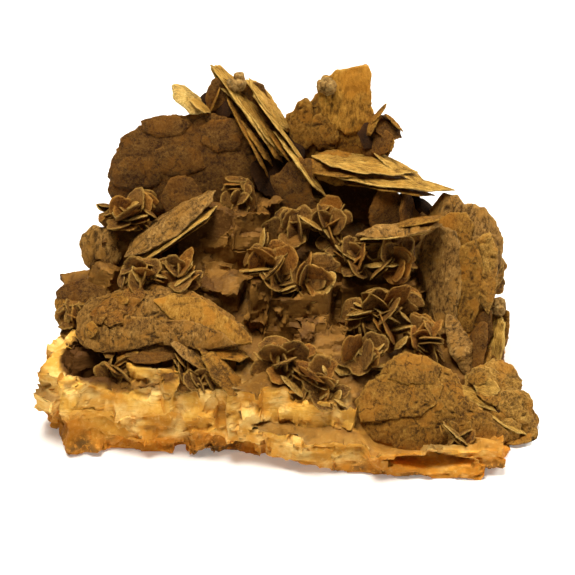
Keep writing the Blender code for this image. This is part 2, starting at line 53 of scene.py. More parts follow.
# The camera, in the tables' coordinates, and the picture that it takes.
EYE_RISE = math.radians(33)
EYE_REACH = 360.0
EYE_AIM = np.array((-0.5, 0.0, 22.0))
ACROSS = np.array((1.0, 0.0, 0.0))
UPWARD = np.array((0.0, math.sin(EYE_RISE), math.cos(EYE_RISE)))
TOWARD = np.array((0.0, -math.cos(EYE_RISE), math.sin(EYE_RISE)))
EYE = EYE_AIM + TOWARD * EYE_REACH
PICTURE_POINT = 0.2  # mm at the aim
PICTURE_MIDDLE = 287.5

PRIMES = (374761393, 668265263, 2147483647)  # of the hash behind every noise

# Outlines: how far the rim reaches at even steps of angle, as a share of the half width and half height.
ROUND = (1.0, 0.95, 1.02, 0.95, 1.03, 0.96, 1.0, 0.95, 1.02, 0.96, 0.98, 1.02)
LENS = (1.0, 0.92, 0.86, 1.0, 0.84, 0.93, 1.0, 0.9, 0.84, 1.0, 0.85, 0.92)
# Outlines by their corners, in the same shares.
SPEAR = (
    (1.0, 0.0), (0.5, 0.75), (-0.1, 1.0), (-0.7, 0.7), (-1.0, 0.1), (-0.6, -0.7), (0.0, -1.0), (0.6, -0.75),
)
SHARD = ((1.0, 0.1), (0.3, 0.9), (-0.6, 1.0), (-1.0, 0.2), (-0.5, -0.9), (0.5, -1.0))
SLAT = (
    (1.0, 0.2), (0.72, 0.9), (0.1, 0.8), (-0.3, 1.0), (-0.9, 0.6), (-1.0, -0.5), (-0.2, -1.0), (0.7, -0.8),
)
HOOF = (
    0.85, 0.95, 1.02, 1.00, 0.94, 0.88, 0.87, 0.98, 1.07, 1.06, 1.03, 1.01,
    0.97, 0.92, 0.85, 0.84, 0.87, 0.91, 1.05, 1.30, 1.28, 1.15, 0.97, 0.86,
)
ROOF = (
    0.86, 0.75, 0.69, 0.70, 0.74, 0.74, 0.78, 0.92, 0.96, 0.93, 1.05, 1.02,
    1.02, 1.06, 1.05, 0.80, 0.62, 0.54, 0.54, 0.56, 0.62, 0.76, 0.92, 0.99,
)
BROAD = (
    0.98, 0.91, 0.92, 1.00, 0.98, 0.98, 0.90, 0.86, 0.86, 0.87, 0.94, 0.92,
    0.94, 1.03, 1.10, 0.98, 0.85, 0.80, 0.80, 0.80, 0.80, 0.80, 0.82, 0.95,
)
TORN = (
    0.81, 0.74, 0.73, 0.88, 1.12, 0.98, 0.91, 0.79, 0.75, 0.73, 0.83, 1.02,
    1.01, 1.02, 0.93, 0.88, 0.85, 0.85, 0.85, 0.85, 0.88, 0.95, 1.05, 1.01,
)
FAN = (
    0.62, 0.53, 0.53, 0.59, 0.72, 0.80, 0.94, 1.10, 1.05, 0.96, 1.01, 1.03,
    0.98, 0.93, 0.91, 0.82, 0.78, 0.78, 0.78, 0.82, 0.94, 1.22, 1.14, 0.82,
)

CAVITY = ((-36.5, -17.6, 17.0), (7.6, 6.4, 6.4))  # hollow in the matrix: middle and radii

# Blocks broken from the front of the matrix: where they are seen, in picture points; half sizes; turn
# about Z, tilt back and spin; and how far they stand out.
ROCKS = (
    (92, 367, (4.8, 3.2, 3.2), (30, 26, -8), 4.2), (98, 397, (7.2, 3.2, 2.2), (16, 26, -8), 0.8),
    (155, 373, (4.0, 1.5, 2.0), (-8, 30, 3), 0.9), (169, 394, (1.3, 3.6, 2.2), (26, 4, 5), 1.5),
    (140, 404, (5.2, 3.0, 2.2), (4, 16, 12), 0.8), (194, 412, (4.4, 4.6, 2.4), (-14, 18, 16), 0.9),
    (219, 410, (0.8, 5.2, 2.4), (-20, 8, 17), 1.6), (245, 415, (3.8, 5.4, 3.2), (14, 14, 4), 1.3),
    (112, 428, (6.4, 2.2, 2.2), (-8, 28, -14), 0.9), (170, 432, (5.0, 1.8, 2.2), (10, 34, 8), 0.8),
    (274, 409, (1.5, 4.4, 2.0), (18, 2, 1), 1.1), (291, 412, (1.7, 4.0, 2.0), (-10, 2, 0), 0.8),
    (316, 414, (3.0, 3.8, 2.0), (8, 6, -2), 0.7), (343, 420, (2.2, 3.4, 2.0), (-6, 4, -3), 0.8),
    (72, 402, (1.6, 4.4, 2.0), (40, 6, 4), 0.8), (300, 436, (8.6, 1.0, 2.2), (2, -10, -6), 1.0),
    (352, 446, (9.4, 1.0, 2.2), (3, -10, -7), 1.1), (318, 452, (9.0, 1.2, 2.0), (-2, 4, -7), 0.7),
    (436, 449, (12.6, 0.9, 2.4), (4, -8, -2), 1.2), (404, 456, (7.0, 1.0, 2.2), (10, 0, -9), 0.9),
    (448, 461, (5.4, 1.2, 2.2), (-8, 6, -5), 0.9), (206, 228, (5.0, 4.2, 2.0), (-14, 30, 5), 1.0),
    (224, 262, (4.2, 3.6, 2.0), (18, 42, -12), 1.0), (186, 268, (3.0, 3.0, 2.0), (-20, 30, 8), 0.9),
    (252, 232, (3.4, 3.8, 2.0), (10, 24, 0), 0.8), (284, 318, (3.4, 4.4, 3.0), (10, 6, 0), 1.2),
    (312, 306, (2.4, 3.4, 2.4), (-24, 10, 6), 1.0), (322, 338, (5.0, 3.0, 2.2), (26, 44, -22), 1.1),
    (262, 300, (2.6, 4.2, 2.0), (30, 8, 0), 0.9), (346, 262, (4.0, 3.0, 2.0), (-12, 30, 4), 0.8),
)

# Blocks broken from the back and the sides: their seed and count, and the ranges in which their turn
# round the specimen, way to the side, height, half width and half height, turns and reach out of the
# stone are drawn; and their half depth.
BEHIND_SEED, BEHIND_COUNT = 8, 46
BEHIND_TURN, BEHIND_SIDE, BEHIND_HEIGHT = (58, 302), (-26, 26), (3, 38)
BEHIND_SIZES = ((1.8, 5.4), (1.4, 4.2))
BEHIND_TURNS = ((-14, 14), (-4, 20), (-16, 16))
BEHIND_PROUD = (0.3, 1.0)
BEHIND_DEPTH = 2.4
STEEP = 0.7  # no block where the stone's normal points up or down by more than this

# Blades of each clump: centre; turn about Z, tilt back from upright and any spin; half width and half
# height; thickness; how far the rim bends back; outline; and the style of its faces.
BLADES = {
    "upper_left_blade": (
        ((-21.3, 16.0, 40.0), (-6, 14), (16.0, 12.5), 1.6, 1.2, BROAD, "velvet"),
        ((-25.4, 19.6, 48.1), (6, 24), (2.8, 1.8), 1.0, 0.2, SHARD, "straw_slat"),
    ),
    "steep_blades": (
        ((-14.4, 21.3, 53.6), (24, 8, -13), (2.6, 4.2), 1.2, 0.2, ROUND, "velvet"),
        ((-8.6, 22.4, 46.4), (12, 6), (6.4, 10.0), 1.2, 0.3, ROUND, "velvet"),
        ((0.4, 11.4, 36.6), (-25, 10), (6.0, 8.6), 1.5, 0.4, TORN, "velvet"),
    ),
    "upper_right_blade": (
        ((9.8, 22.0, 45.0), (4, 10), (10.8, 14.0), 1.6, 1.0, TORN, "golden"),
        ((17.8, 19.8, 43.6), (24, 20), (3.6, 3.4), 1.3, 0.2, ROUND, "velvet"),
    ),
    "shelf_blades": (((9.4, 15.4, 41.0), (18, 66, -106), (4.4, 6.4), 2.2, 0.3, LENS, "golden"),),
    "hanging_blades": (
        ((19.6, 8.5, 33.6), (10, 15), (3.8, 5.6), 1.2, 0.3, ROUND, "velvet"),
        ((24.0, 9.4, 33.2), (66, 12), (3.8, 5.4), 1.1, 0.2, LENS, "velvet"),
        ((22.0, 10.6, 30.0), (-24, 20), (5.4, 4.6), 1.6, 0.2, ROUND, "velvet"),
    ),
    "mid_shelf_blade": (),
    "right_blades": (
        ((33.2, 1.6, 24.0), (-14, 26), (9.4, 16.4), 2.2, 3.0, HOOF, "felt"),
        ((37.2, 5.0, 24.0), (16, 22), (7.0, 13.0), 2.0, 1.2, BROAD, "sandy"),
        ((37.2, -4.2, 12.0), (34, 22), (4.6, 8.4), 1.6, 0.8, LENS, "golden"),
        ((39.4, -2.2, 13.0), (44, 14), (4.4, 8.8), 1.5, 0.6, LENS, "golden"),
    ),
    "lower_right_blade": (
        ((27.4, -24.8, 10.0), (8, 38), (14.6, 10.8), 1.8, 1.6, FAN, "scaly"),
        ((31.4, -28.4, 6.8), (60, 20), (2.0, 3.0), 0.9, 0.0, LENS, "golden"),
        ((33.4, -28.0, 6.6), (-40, 30), (2.0, 2.8), 0.9, 0.0, LENS, "golden"),
    ),
    "right_corner_blades": (
        ((40.4, -14.2, 8.2), (14, 48), (6.4, 5.6), 1.5, 0.6, BROAD, "sandy"),
        ((43.4, -19.2, 4.2), (24, 38), (6.0, 6.0), 1.7, 0.6, HOOF, "sandy"),
        ((42.0, -16.6, 6.2), (40, 60), (5.0, 5.4), 1.8, 0.4, ROUND, "golden"),
    ),
    "front_left_blades": (
        ((-23.8, -15.4, 24.3), (-4, 54), (17.4, 9.4), 2.0, 2.6, ROOF, "slotted"),
        ((-14.6, -20.0, 18.6), (29, 42, 4), (4.6, 8.0), 1.5, 0.9, LENS, "golden"),
        ((-26.6, -19.4, 19.9), (-5, 40), (6.8, 3.8), 1.5, 0.6, LENS, "velvet"),
    ),
    "diagonal_blade": (),
    "half_disc_blade": (
        ((-21.8, 11.0, 36.4), (-4, 25), (4.1, 4.5), 1.0, 0.3, ROUND, "velvet"),
    ),
    "left_disc_blade": (
        ((-38.3, 6.0, 27.4), (-18, 24), (4.7, 4.6), 1.4, 0.5, ROUND, "felt"),
    ),
    "left_cap_blades": (
        ((-41.4, -2.4, 21.7), (-10, 58), (5.4, 4.0), 1.6, 0.7, LENS, "velvet"),
        ((-42.6, -4.0, 20.4), (-20, 66), (4.6, 3.4), 1.4, 0.3, LENS, "golden"),
    ),
    "back_left_blade": (
        ((-25.0, 24.6, 22.0), (172, 28), (10.0, 8.5), 1.7, 1.4, BROAD, "felt"),
        ((-31.4, 21.4, 17.0), (146, 34, 12), (6.4, 5.0), 1.4, 0.8, LENS, "golden"),
        ((-19.0, 25.6, 16.4), (192, 40, -8), (6.0, 5.0), 1.3, 0.6, LENS, "velvet"),
        ((-28.0, 22.4, 27.6), (160, 12, 20), (5.4, 4.4), 1.2, 0.4, ROUND, "velvet"),
    ),
    "back_right_blade": (
        ((21.0, 25.0, 20.0), (196, 26), (9.0, 10.0), 1.7, 1.4, HOOF, "felt"),
        ((27.6, 21.8, 16.6), (222, 30, -6), (5.6, 6.6), 1.4, 0.8, LENS, "golden"),
        ((13.6, 26.0, 15.0), (176, 38, 10), (6.0, 4.8), 1.3, 0.6, LENS, "velvet"),
        ((14.0, 25.4, 24.0), (170, 10, -14), (4.6, 5.4), 1.2, 0.4, ROUND, "golden"),
    ),
}

# Blades that the matrix stays behind, by clump and number.
CLEARED = (
    ("lower_right_blade", 0), ("right_blades", 0), ("front_left_blades", 0), ("right_corner_blades", 1),
    ("back_left_blade", 0), ("back_right_blade", 0),
)

# Places from which the depth of a clump's seen pieces is measured.
HUBS = {
    "steep_blades": (-6.0, 19.2, 49.0),
    "front_left_blades": (-14.6, -20.0, 18.6),
    "right_blades": (35.0, -1.0, 16.0),
    "right_corner_blades": (42.0, -16.6, 6.2),
    "hanging_blades": (22.0, 9.5, 33.0),
    "shelf_blades": (17.0, 13.8, 40.4),
    "mid_shelf_blade": (20.8, 2.4, 35.3),
    "diagonal_blade": (-24.0, 4.5, 34.0),
    "upper_left_blade": (-19.4, 19.6, 51.6),
    "upper_right_blade": (18.4, 20.6, 47.0),
    "lower_right_blade": (32.0, -29.5, 7.0),
}

# Blades of a clump that show nearly edge on: where they are seen, in picture points; how far they
# stand in front of the clump's hub; half length in picture points; half width; the way they
# lie in the picture; how far their face is turned to the front; thickness; outline; style.
# Slats of style "deep" are near-black sheets put where the clump lies in shade: painted shade.
SLATS = {
    "front_left_blades": (
        (98, 316, -1.6, 11, 2.4, 62, 40, 0.7, SHARD, "crusty"),
        (107, 306, -2.0, 12, 2.4, 40, 36, 0.7, SLAT, "crusty"),
        (119, 298, -2.4, 12, 2.2, 22, 40, 0.7, SHARD, "brown"),
        (134, 294, -2.6, 11, 2.2, -6, 44, 0.7, SLAT, "crusty"),
        (112, 316, -0.6, 13, 2.4, 30, 50, 0.6, SHARD, "crusty"),
        (126, 307, -1.4, 12, 2.0, 8, 60, 0.5, SHARD, "crusty"),
        (90, 330, -0.4, 9, 2.2, 76, 40, 0.6, SHARD, "brown"),
        (150, 354, 1.0, 25, 3.0, 0, 30, 0.8, ROUND, "velvet"),
        (192, 354, 2.2, 22, 2.8, -38, 26, 0.8, SLAT, "felt"),
        (225, 374, 3.0, 27, 3.6, -50, 34, 0.9, SLAT, "golden"),
        (208, 353, 1.2, 14, 2.4, -40, 18, 0.6, SLAT, "golden"),
        (228, 352, -0.6, 20, 3.0, -14, 24, 0.8, SLAT, "brown"),
        (212, 372, 1.6, 22, 2.4, -50, 14, 0.5, SLAT, "brown"),
        (128, 352, -0.4, 14, 2.4, 24, 22, 0.6, SLAT, "brown"),
        (210, 366, -1.4, 40, 5.0, -24, 60, 1.0, ROUND, "deep"),
    ),
    "right_blades": (
        (461, 346, 5.6, 34, 3.0, -70, 60, 1.3, LENS, "felt"),
        (475, 352, 4.4, 32, 2.6, 76, 46, 1.0, ROUND, "velvet"),
        (488, 345, -1.4, 42, 4.4, 80, 38, 1.2, SPEAR, "shelf"),
        (478, 366, 3.4, 24, 3.0, 58, 20, 0.8, SPEAR, "golden"),
        (494, 330, -2.6, 30, 3.6, 84, 50, 0.9, SLAT, "golden"),
        (458, 366, 2.6, 18, 3.0, -60, 60, 0.9, ROUND, "velvet"),
        (483, 300, 0.4, 26, 2.4, 86, 30, 0.6, SLAT, "crusty"),
    ),
    "right_corner_blades": (
        (482, 397, 0.6, 26, 3.2, -22, 30, 0.9, SLAT, "shelf"),
        (505, 420, 1.2, 26, 3.0, -32, 18, 0.7, SPEAR, "shelf"),
        (499, 407, 1.8, 11, 1.6, -50, 60, 0.6, SHARD, "deep"),
        (486, 386, 1.4, 15, 2.6, -14, 56, 0.7, SHARD, "straw_slat"),
        (478, 378, 1.0, 10, 1.8, 30, 50, 0.6, SHARD, "golden"),
        (490, 396, 2.0, 14, 2.0, -30, 40, 0.6, SLAT, "golden"),
        (520, 412, -0.4, 26, 3.6, -58, 66, 1.0, SLAT, "golden"),
        (516, 438, 1.0, 18, 2.4, 8, 24, 0.8, SLAT, "golden"),
    ),
    "hanging_blades": (
        (411, 204, -2.0, 16, 3.0, -12, 62, 0.8, SHARD, "deep"),
        (396, 205, -0.6, 12, 2.0, 86, 30, 0.6, SPEAR, "brown"),
        (425, 206, -1.6, 12, 2.0, -30, 40, 0.5, SHARD, "deep"),
    ),
    "steep_blades": (
        (226, 106, -2.8, 18, 4.0, -60, 74, 0.9, ROUND, "deep"),
        (256, 150, -3.0, 38, 4.2, -58, 70, 1.0, ROUND, "deep"),
        (286, 140, -3.4, 30, 2.8, -54, 64, 0.9, ROUND, "deep"),
        (272, 172, -1.6, 26, 4.4, -66, 70, 0.9, ROUND, "deep"),
        (290, 152, -3.0, 16, 3.4, -50, 70, 0.8, ROUND, "deep"),
        (246.5, 109.5, 0.0, 57, 4.2, -54, 8, 0.8, SLAT, "layered"),
        (260, 116, -1.6, 36, 4.4, -55, 30, 0.7, SLAT, "layered"),
        (248, 122, -0.9, 32, 4.0, -60, 24, 0.6, SLAT, "brown"),
        (286, 150, -0.4, 40, 3.2, -54, 16, 0.5, SLAT, "golden"),
        (297, 160, 1.5, 38, 2.6, -53, 7, 0.4, SPEAR, "straw_slat"),
        (274, 132, -2.2, 34, 3.4, -56, 34, 0.6, SLAT, "layered"),
        (243, 108, -1.2, 36, 3.2, -58, 34, 0.6, SLAT, "brown"),
        (234, 89, -0.4, 32, 2.8, -51, 36, 0.6, SLAT, "layered"),
        (250, 138, 1.4, 43, 3.4, -63.5, 6, 0.5, SLAT, "brown"),
        (252, 110, -0.4, 34, 4.2, -56, 15, 0.8, SLAT, "layered"),
        (262, 127, 0.4, 30, 3.6, -52, 8, 0.6, SPEAR, "layered"),
        (270, 104, -1.8, 33, 4.6, -55, 19, 0.8, SLAT, "layered"),
        (264, 99, -0.8, 27, 3.8, -57, 12, 0.5, SPEAR, "layered"),
        (277, 112, -2.6, 22, 3.6, -50, 16, 0.5, SLAT, "layered"),
        (279, 127, 0.6, 43, 3.4, -52.3, 5, 0.45, SPEAR, "layered"),
        (291, 143, 1.6, 22, 3.0, -55, 5, 0.4, SPEAR, "layered"),
        (302, 164, 1.0, 42, 4.0, -52.3, 11, 0.9, SPEAR, "layered"),
        (309, 168, 0.2, 12, 2.6, -40, 20, 0.5, SLAT, "golden"),
        (258, 141, 0.2, 28, 4.0, -58, 9, 0.6, SLAT, "brown"),
        (270, 141, -0.8, 26, 4.0, -56, 14, 0.6, SLAT, "brown"),
        (214.5, 98, 0.6, 16, 2.4, 70, 9, 0.4, SPEAR, "brown"),
    ),
    "shelf_blades": (
        (365, 162, 0.0, 54, 5.6, -8, 23, 0.9, SPEAR, "shelf"),
        (385, 178, 0.4, 72, 5.4, -7.5, 18, 1.0, SPEAR, "shelf"),
        (402, 168, -0.8, 32, 3.4, -30, 24, 0.5, SPEAR, "shelf"),
        (340, 173, 1.0, 30, 4.0, -3, 10, 0.6, SPEAR, "golden"),
        (390, 187, 0.0, 46, 5.0, -8, 9, 0.6, SLAT, "golden"),
    ),
    "mid_shelf_blade": (
        (399, 228, 0.0, 43, 4.8, 8, 19, 1.0, SPEAR, "felt"),
        (420, 220, -0.6, 24, 3.4, 11, 14, 0.5, SLAT, "golden"),
        (396, 233, 0.5, 36, 3.6, 7, 9, 0.4, SLAT, "shelf"),
    ),
    "diagonal_blade": (
        (168, 223, 0.0, 57, 5.6, 36, 30, 1.0, SPEAR, "slate"),
        (176, 233, 0.7, 50, 4.6, 35.5, 13, 0.5, SLAT, "shelf"),
        (182, 235, 0.2, 38, 4.0, 36, 9, 0.4, SLAT, "golden"),
        (196, 206, -0.8, 24, 4.0, 42, 24, 0.5, SLAT, "slate"),
    ),
    "upper_left_blade": (
        (189, 99, 0.0, 23, 3.0, -38, 44, 1.0, SHARD, "pale"),
        (193, 104, 0.3, 14, 0.7, -46, 20, 0.5, SPEAR, "brown"),
        (201, 105, 0.9, 12, 1.8, -38, 30, 0.6, SLAT, "straw_slat"),
        (216, 104, -1.4, 14, 4.0, 62, 70, 0.8, SHARD, "deep"),
    ),
    "upper_right_blade": (
        (378, 113, 1.4, 13, 1.6, 55, 16, 0.5, SPEAR, "golden"),
        (372, 124, 0.8, 12, 2.0, 68, 24, 0.5, SLAT, "brown"),
        (388, 128, 0.6, 17, 2.6, -38, 58, 0.7, SHARD, "velvet"),
        (394, 122, 1.2, 13, 1.8, -42, 16, 0.5, SPEAR, "brown"),
        (380, 142, 1.2, 16, 2.8, 78, 52, 0.6, SHARD, "velvet"),
        (390, 146, 1.8, 10, 1.6, 74, 20, 0.4, SHARD, "golden"),
        (374, 134, -0.4, 17, 3.4, -60, 64, 0.6, SHARD, "deep"),
    ),
}

SCALE_THICK, SCALE_BEND = 0.9, 0.3

# How far the scales of each style stand out.
SCALE_LIFT = {
    "velvet": -0.12, "scaly": -0.05, "smooth": 0.0, "sandy": 0.1, "golden": 0.25, "streaked": 0.25,
    "slotted": 0.25, "crusty": 0.35, "felt": 0.5, "lobe": 0.55,
}

# Scales: thin plates lying on one of a clump's blades, as the blade's number, how far across and
# up its face they lie, their half width and half height, their style and their outline's corners.
SCALES = {
    "upper_right_blade": (
        (0, 1.4, 7.0, 5.6, 7.1, "streaked", (
            (-1.0, 0.31), (-0.85, 0.66), (-0.38, 0.88), (0.23, 0.96), (0.84, 1.0), (0.95, 0.76), (0.89, 0.32),
            (1.0, -0.33), (0.82, -0.81), (0.16, -1.0), (-0.39, -0.77), (-0.86, -0.28),
        )),
        (0, -7.4, 2.5, 2.8, 5.5, "golden", (
            (-0.84, 0.26), (-0.34, 0.78), (0.31, 1.0), (0.8, 0.76), (0.79, -0.04), (1.0, -0.63), (0.2, -1.0),
            (-0.65, -0.83), (-1.0, -0.28),
        )),
        (0, -2.6, 0.9, 2.9, 4.0, "golden", (
            (-0.99, 0.7), (-0.28, 1.0), (0.57, 0.56), (1.0, -0.24), (0.64, -0.92), (-0.58, -1.0),
            (-1.0, -0.46),
        )),
    ),
    "upper_left_blade": (
        (0, 7.1, 7.5, 4.7, 3.3, "velvet", (
            (-1.0, 0.44), (-0.32, 0.93), (0.65, 1.0), (1.0, 0.15), (0.88, -0.79), (-0.18, -1.0),
            (-0.91, -0.43),
        )),
        (0, -9.3, -0.9, 5.4, 3.8, "velvet", (
            (-1.0, 0.06), (-0.5, 0.76), (0.44, 1.0), (1.0, 0.49), (0.81, -0.63), (-0.32, -1.0), (-1.0, -0.94),
        )),
        (0, -1.3, 2.1, 5.6, 3.7, "velvet", (
            (-1.0, 0.48), (-0.09, 1.0), (0.81, 0.63), (1.0, -0.37), (0.09, -1.0), (-0.82, -0.74),
        )),
        (0, -3.9, 8.8, 5.1, 2.3, "velvet", (
            (-1.0, 0.38), (-0.28, 1.0), (0.44, 0.99), (1.0, 0.33), (0.6, -0.72), (-0.28, -1.0),
            (-0.92, -0.53),
        )),
    ),
    "right_blades": (
        (0, -3.1, -1.5, 4.8, 10.9, "felt", (
            (-1.0, 0.73), (-0.23, 1.0), (0.45, 0.96), (0.88, 0.62), (1.0, -0.12), (0.91, -0.87), (0.31, -1.0),
            (-0.36, -0.38), (-0.95, 0.23),
        )),
        (0, -1.4, 9.2, 3.7, 3.4, "golden", (
            (-1.0, 0.39), (-0.41, 0.94), (0.5, 1.0), (1.0, 0.37), (0.96, -0.75), (0.02, -1.0), (-0.69, -0.51),
        )),
        (0, 2.8, -2.2, 2.9, 9.7, "lobe", (
            (-1.0, 0.85), (0.1, 1.0), (0.82, 0.57), (1.0, -0.21), (0.66, -0.9), (-0.27, -1.0), (-0.69, -0.28),
            (-0.66, 0.35),
        )),
        (0, 5.9, 1.2, 2.7, 8.3, "sandy", (
            (-1.0, 0.77), (-0.04, 1.0), (0.71, 0.59), (1.0, -0.37), (0.56, -1.0), (-0.31, -0.67),
            (-0.33, 0.18),
        )),
        (0, 3.4, -13.5, 5.3, 7.9, "velvet", (
            (-1.0, 0.4), (0.09, 0.73), (0.8, 1.0), (1.0, 0.33), (0.74, -0.34), (0.25, -1.0), (-0.32, -0.8),
            (-0.81, -0.22),
        )),
    ),
    "lower_right_blade": (
        (0, -6.2, 3.5, 8.6, 4.6, "scaly", (
            (-1.0, -0.15), (-0.67, 0.68), (-0.35, 0.88), (0.26, 0.91), (0.77, 1.0), (1.0, 0.25),
            (0.83, -0.52), (0.4, -0.95), (-0.32, -1.0), (-0.91, -0.99),
        )),
        (0, -2.9, 8.2, 5.3, 3.3, "golden", (
            (-0.8, 0.62), (-0.11, 1.0), (0.6, 0.67), (1.0, -0.09), (0.73, -1.0), (-0.44, -0.84),
            (-1.0, -0.42),
        )),
    ),
    "front_left_blades": (
        (0, 7.0, 0.5, 10.0, 5.0, "smooth", (
            (-1.0, 0.67), (-0.57, 1.0), (-0.08, 0.87), (0.37, 0.37), (0.89, -0.4), (1.0, -0.8), (0.57, -1.0),
            (-0.02, -0.56), (-0.62, -0.04),
        )),
        (0, -7.0, -3.1, 9.0, 3.6, "slotted", (
            (-1.0, -0.59), (-0.72, 0.55), (-0.2, 1.0), (0.44, 0.9), (1.0, 0.28), (0.83, -0.4), (-0.03, -0.93),
            (-0.66, -1.0),
        )),
        (0, -10.0, 2.2, 5.1, 3.1, "crusty", (
            (-1.0, -0.43), (-0.59, 0.4), (0.33, 1.0), (1.0, 0.51), (0.52, -0.53), (-0.51, -1.0),
        )),
        (0, 5.6, -2.8, 8.6, 2.8, "slotted", (
            (-1.0, 0.76), (-0.22, 1.0), (0.63, 0.25), (1.0, -0.55), (0.28, -1.0), (-0.62, -0.83),
        )),
    ),
    "right_corner_blades": (
        (1, 1.4, 1.6, 3.8, 3.6, "sandy", SHARD),
        (1, -1.6, -2.2, 3.0, 2.6, "sandy", SHARD),
        (0, -1.6, 1.0, 3.6, 3.0, "sandy", SHARD),
    ),
    "back_left_blade": (
        (0, 2.6, 2.0, 5.6, 5.0, "scaly", ROUND),
        (0, -4.0, -1.0, 4.6, 5.0, "scaly", ROUND),
    ),
    "back_right_blade": (
        (0, -2.0, 2.4, 5.0, 5.4, "felt", ROUND),
        (0, 3.0, -2.0, 4.2, 6.0, "felt", ROUND),
    ),
}

# Crumbs of fine crystals on the blades: centre and radius.
CRUMBS = {
    "steep_blades": (((-10.6, 21.4, 56.8), 1.8),),
    "upper_right_blade": (((7.0, 22.6, 55.4), 2.1),),
    "right_blades": (((40.9, -0.2, 17.6), 2.3),),
}

# Rosettes: for each clump its centres, each with a radius, a count of main plates, a seed and the
# way it faces, as a turn about Z and a tilt up; then the count of lesser plates.
ROSETTES = {
    "upper_left_rosette": (((-32.3, 8.2, 33.4), 7.2, 5, 3, (-20, 50), 16),),
    "left_rosette": (
        ((-28.6, -5.8, 28.4), 5.8, 5, 11, (-20, 50), 14),
        ((-21.6, -5.4, 28.8), 5.8, 4, 12, (10, 50), 14),
    ),
    "centre_rosette": (
        ((-3.6, -4.0, 28.8), 7.6, 5, 21, (-10, 40), 18),
        ((3.0, -5.2, 27.0), 6.6, 4, 22, (30, 30), 14),
    ),
    "upper_centre_rosette": (
        ((1.2, 5.6, 32.4), 6.6, 5, 31, (-10, 40), 14),
        ((7.4, 6.6, 32.2), 6.2, 4, 32, (20, 50), 14),
    ),
    "right_rosette": (
        ((13.4, 1.2, 27.6), 6.6, 5, 41, (-10, 50), 16),
        ((20.6, 1.6, 27.2), 6.6, 4, 42, (20, 50), 16),
    ),
    "lower_right_rosette": (
        ((18.4, -7.2, 20.6), 8.0, 5, 51, (-6, 40), 18),
        ((25.8, -11.4, 16.6), 6.8, 4, 52, (14, 36), 16),
    ),
    "front_rosette": (
        ((-1.7, -19.8, 17.6), 6.8, 5, 61, (-10, 40), 18),
        ((5.0, -22.6, 15.4), 6.4, 4, 62, (16, 30), 16),
    ),
    "petal_rosette": (((13.6, -15.8, 16.6), 6.8, 5, 71, (0, 40), 6),),
    "horseshoe_rosette": (((-10.0, 10.2, 36.8), 4.4, 5, 81, (0, 20), 6),),
    "front_left_rosette": (((-17.6, -23.2, 16.2), 5.0, 5, 91, (0, 10), 10),),
    "cavity_rosette": (((-33.2, -20.4, 16.2), 4.8, 5, 101, (10, 20), 10),),
    "left_edge_rosette": (((-42.0, -8.0, 19.4), 5.0, 5, 111, (-40, 50), 12),),
    "right_side_rosette": (((38.6, 11.0, 17.0), 6.0, 5, 122, (90, 30), 18),),
    "back_rosette": (
        ((-2.0, 25.2, 22.0), 7.0, 6, 133, (180, 40), 16),
        ((-7.4, 25.4, 17.4), 5.6, 5, 134, (170, 30), 10),
        ((4.4, 25.8, 17.0), 5.4, 5, 135, (190, 30), 10),
    ),
}

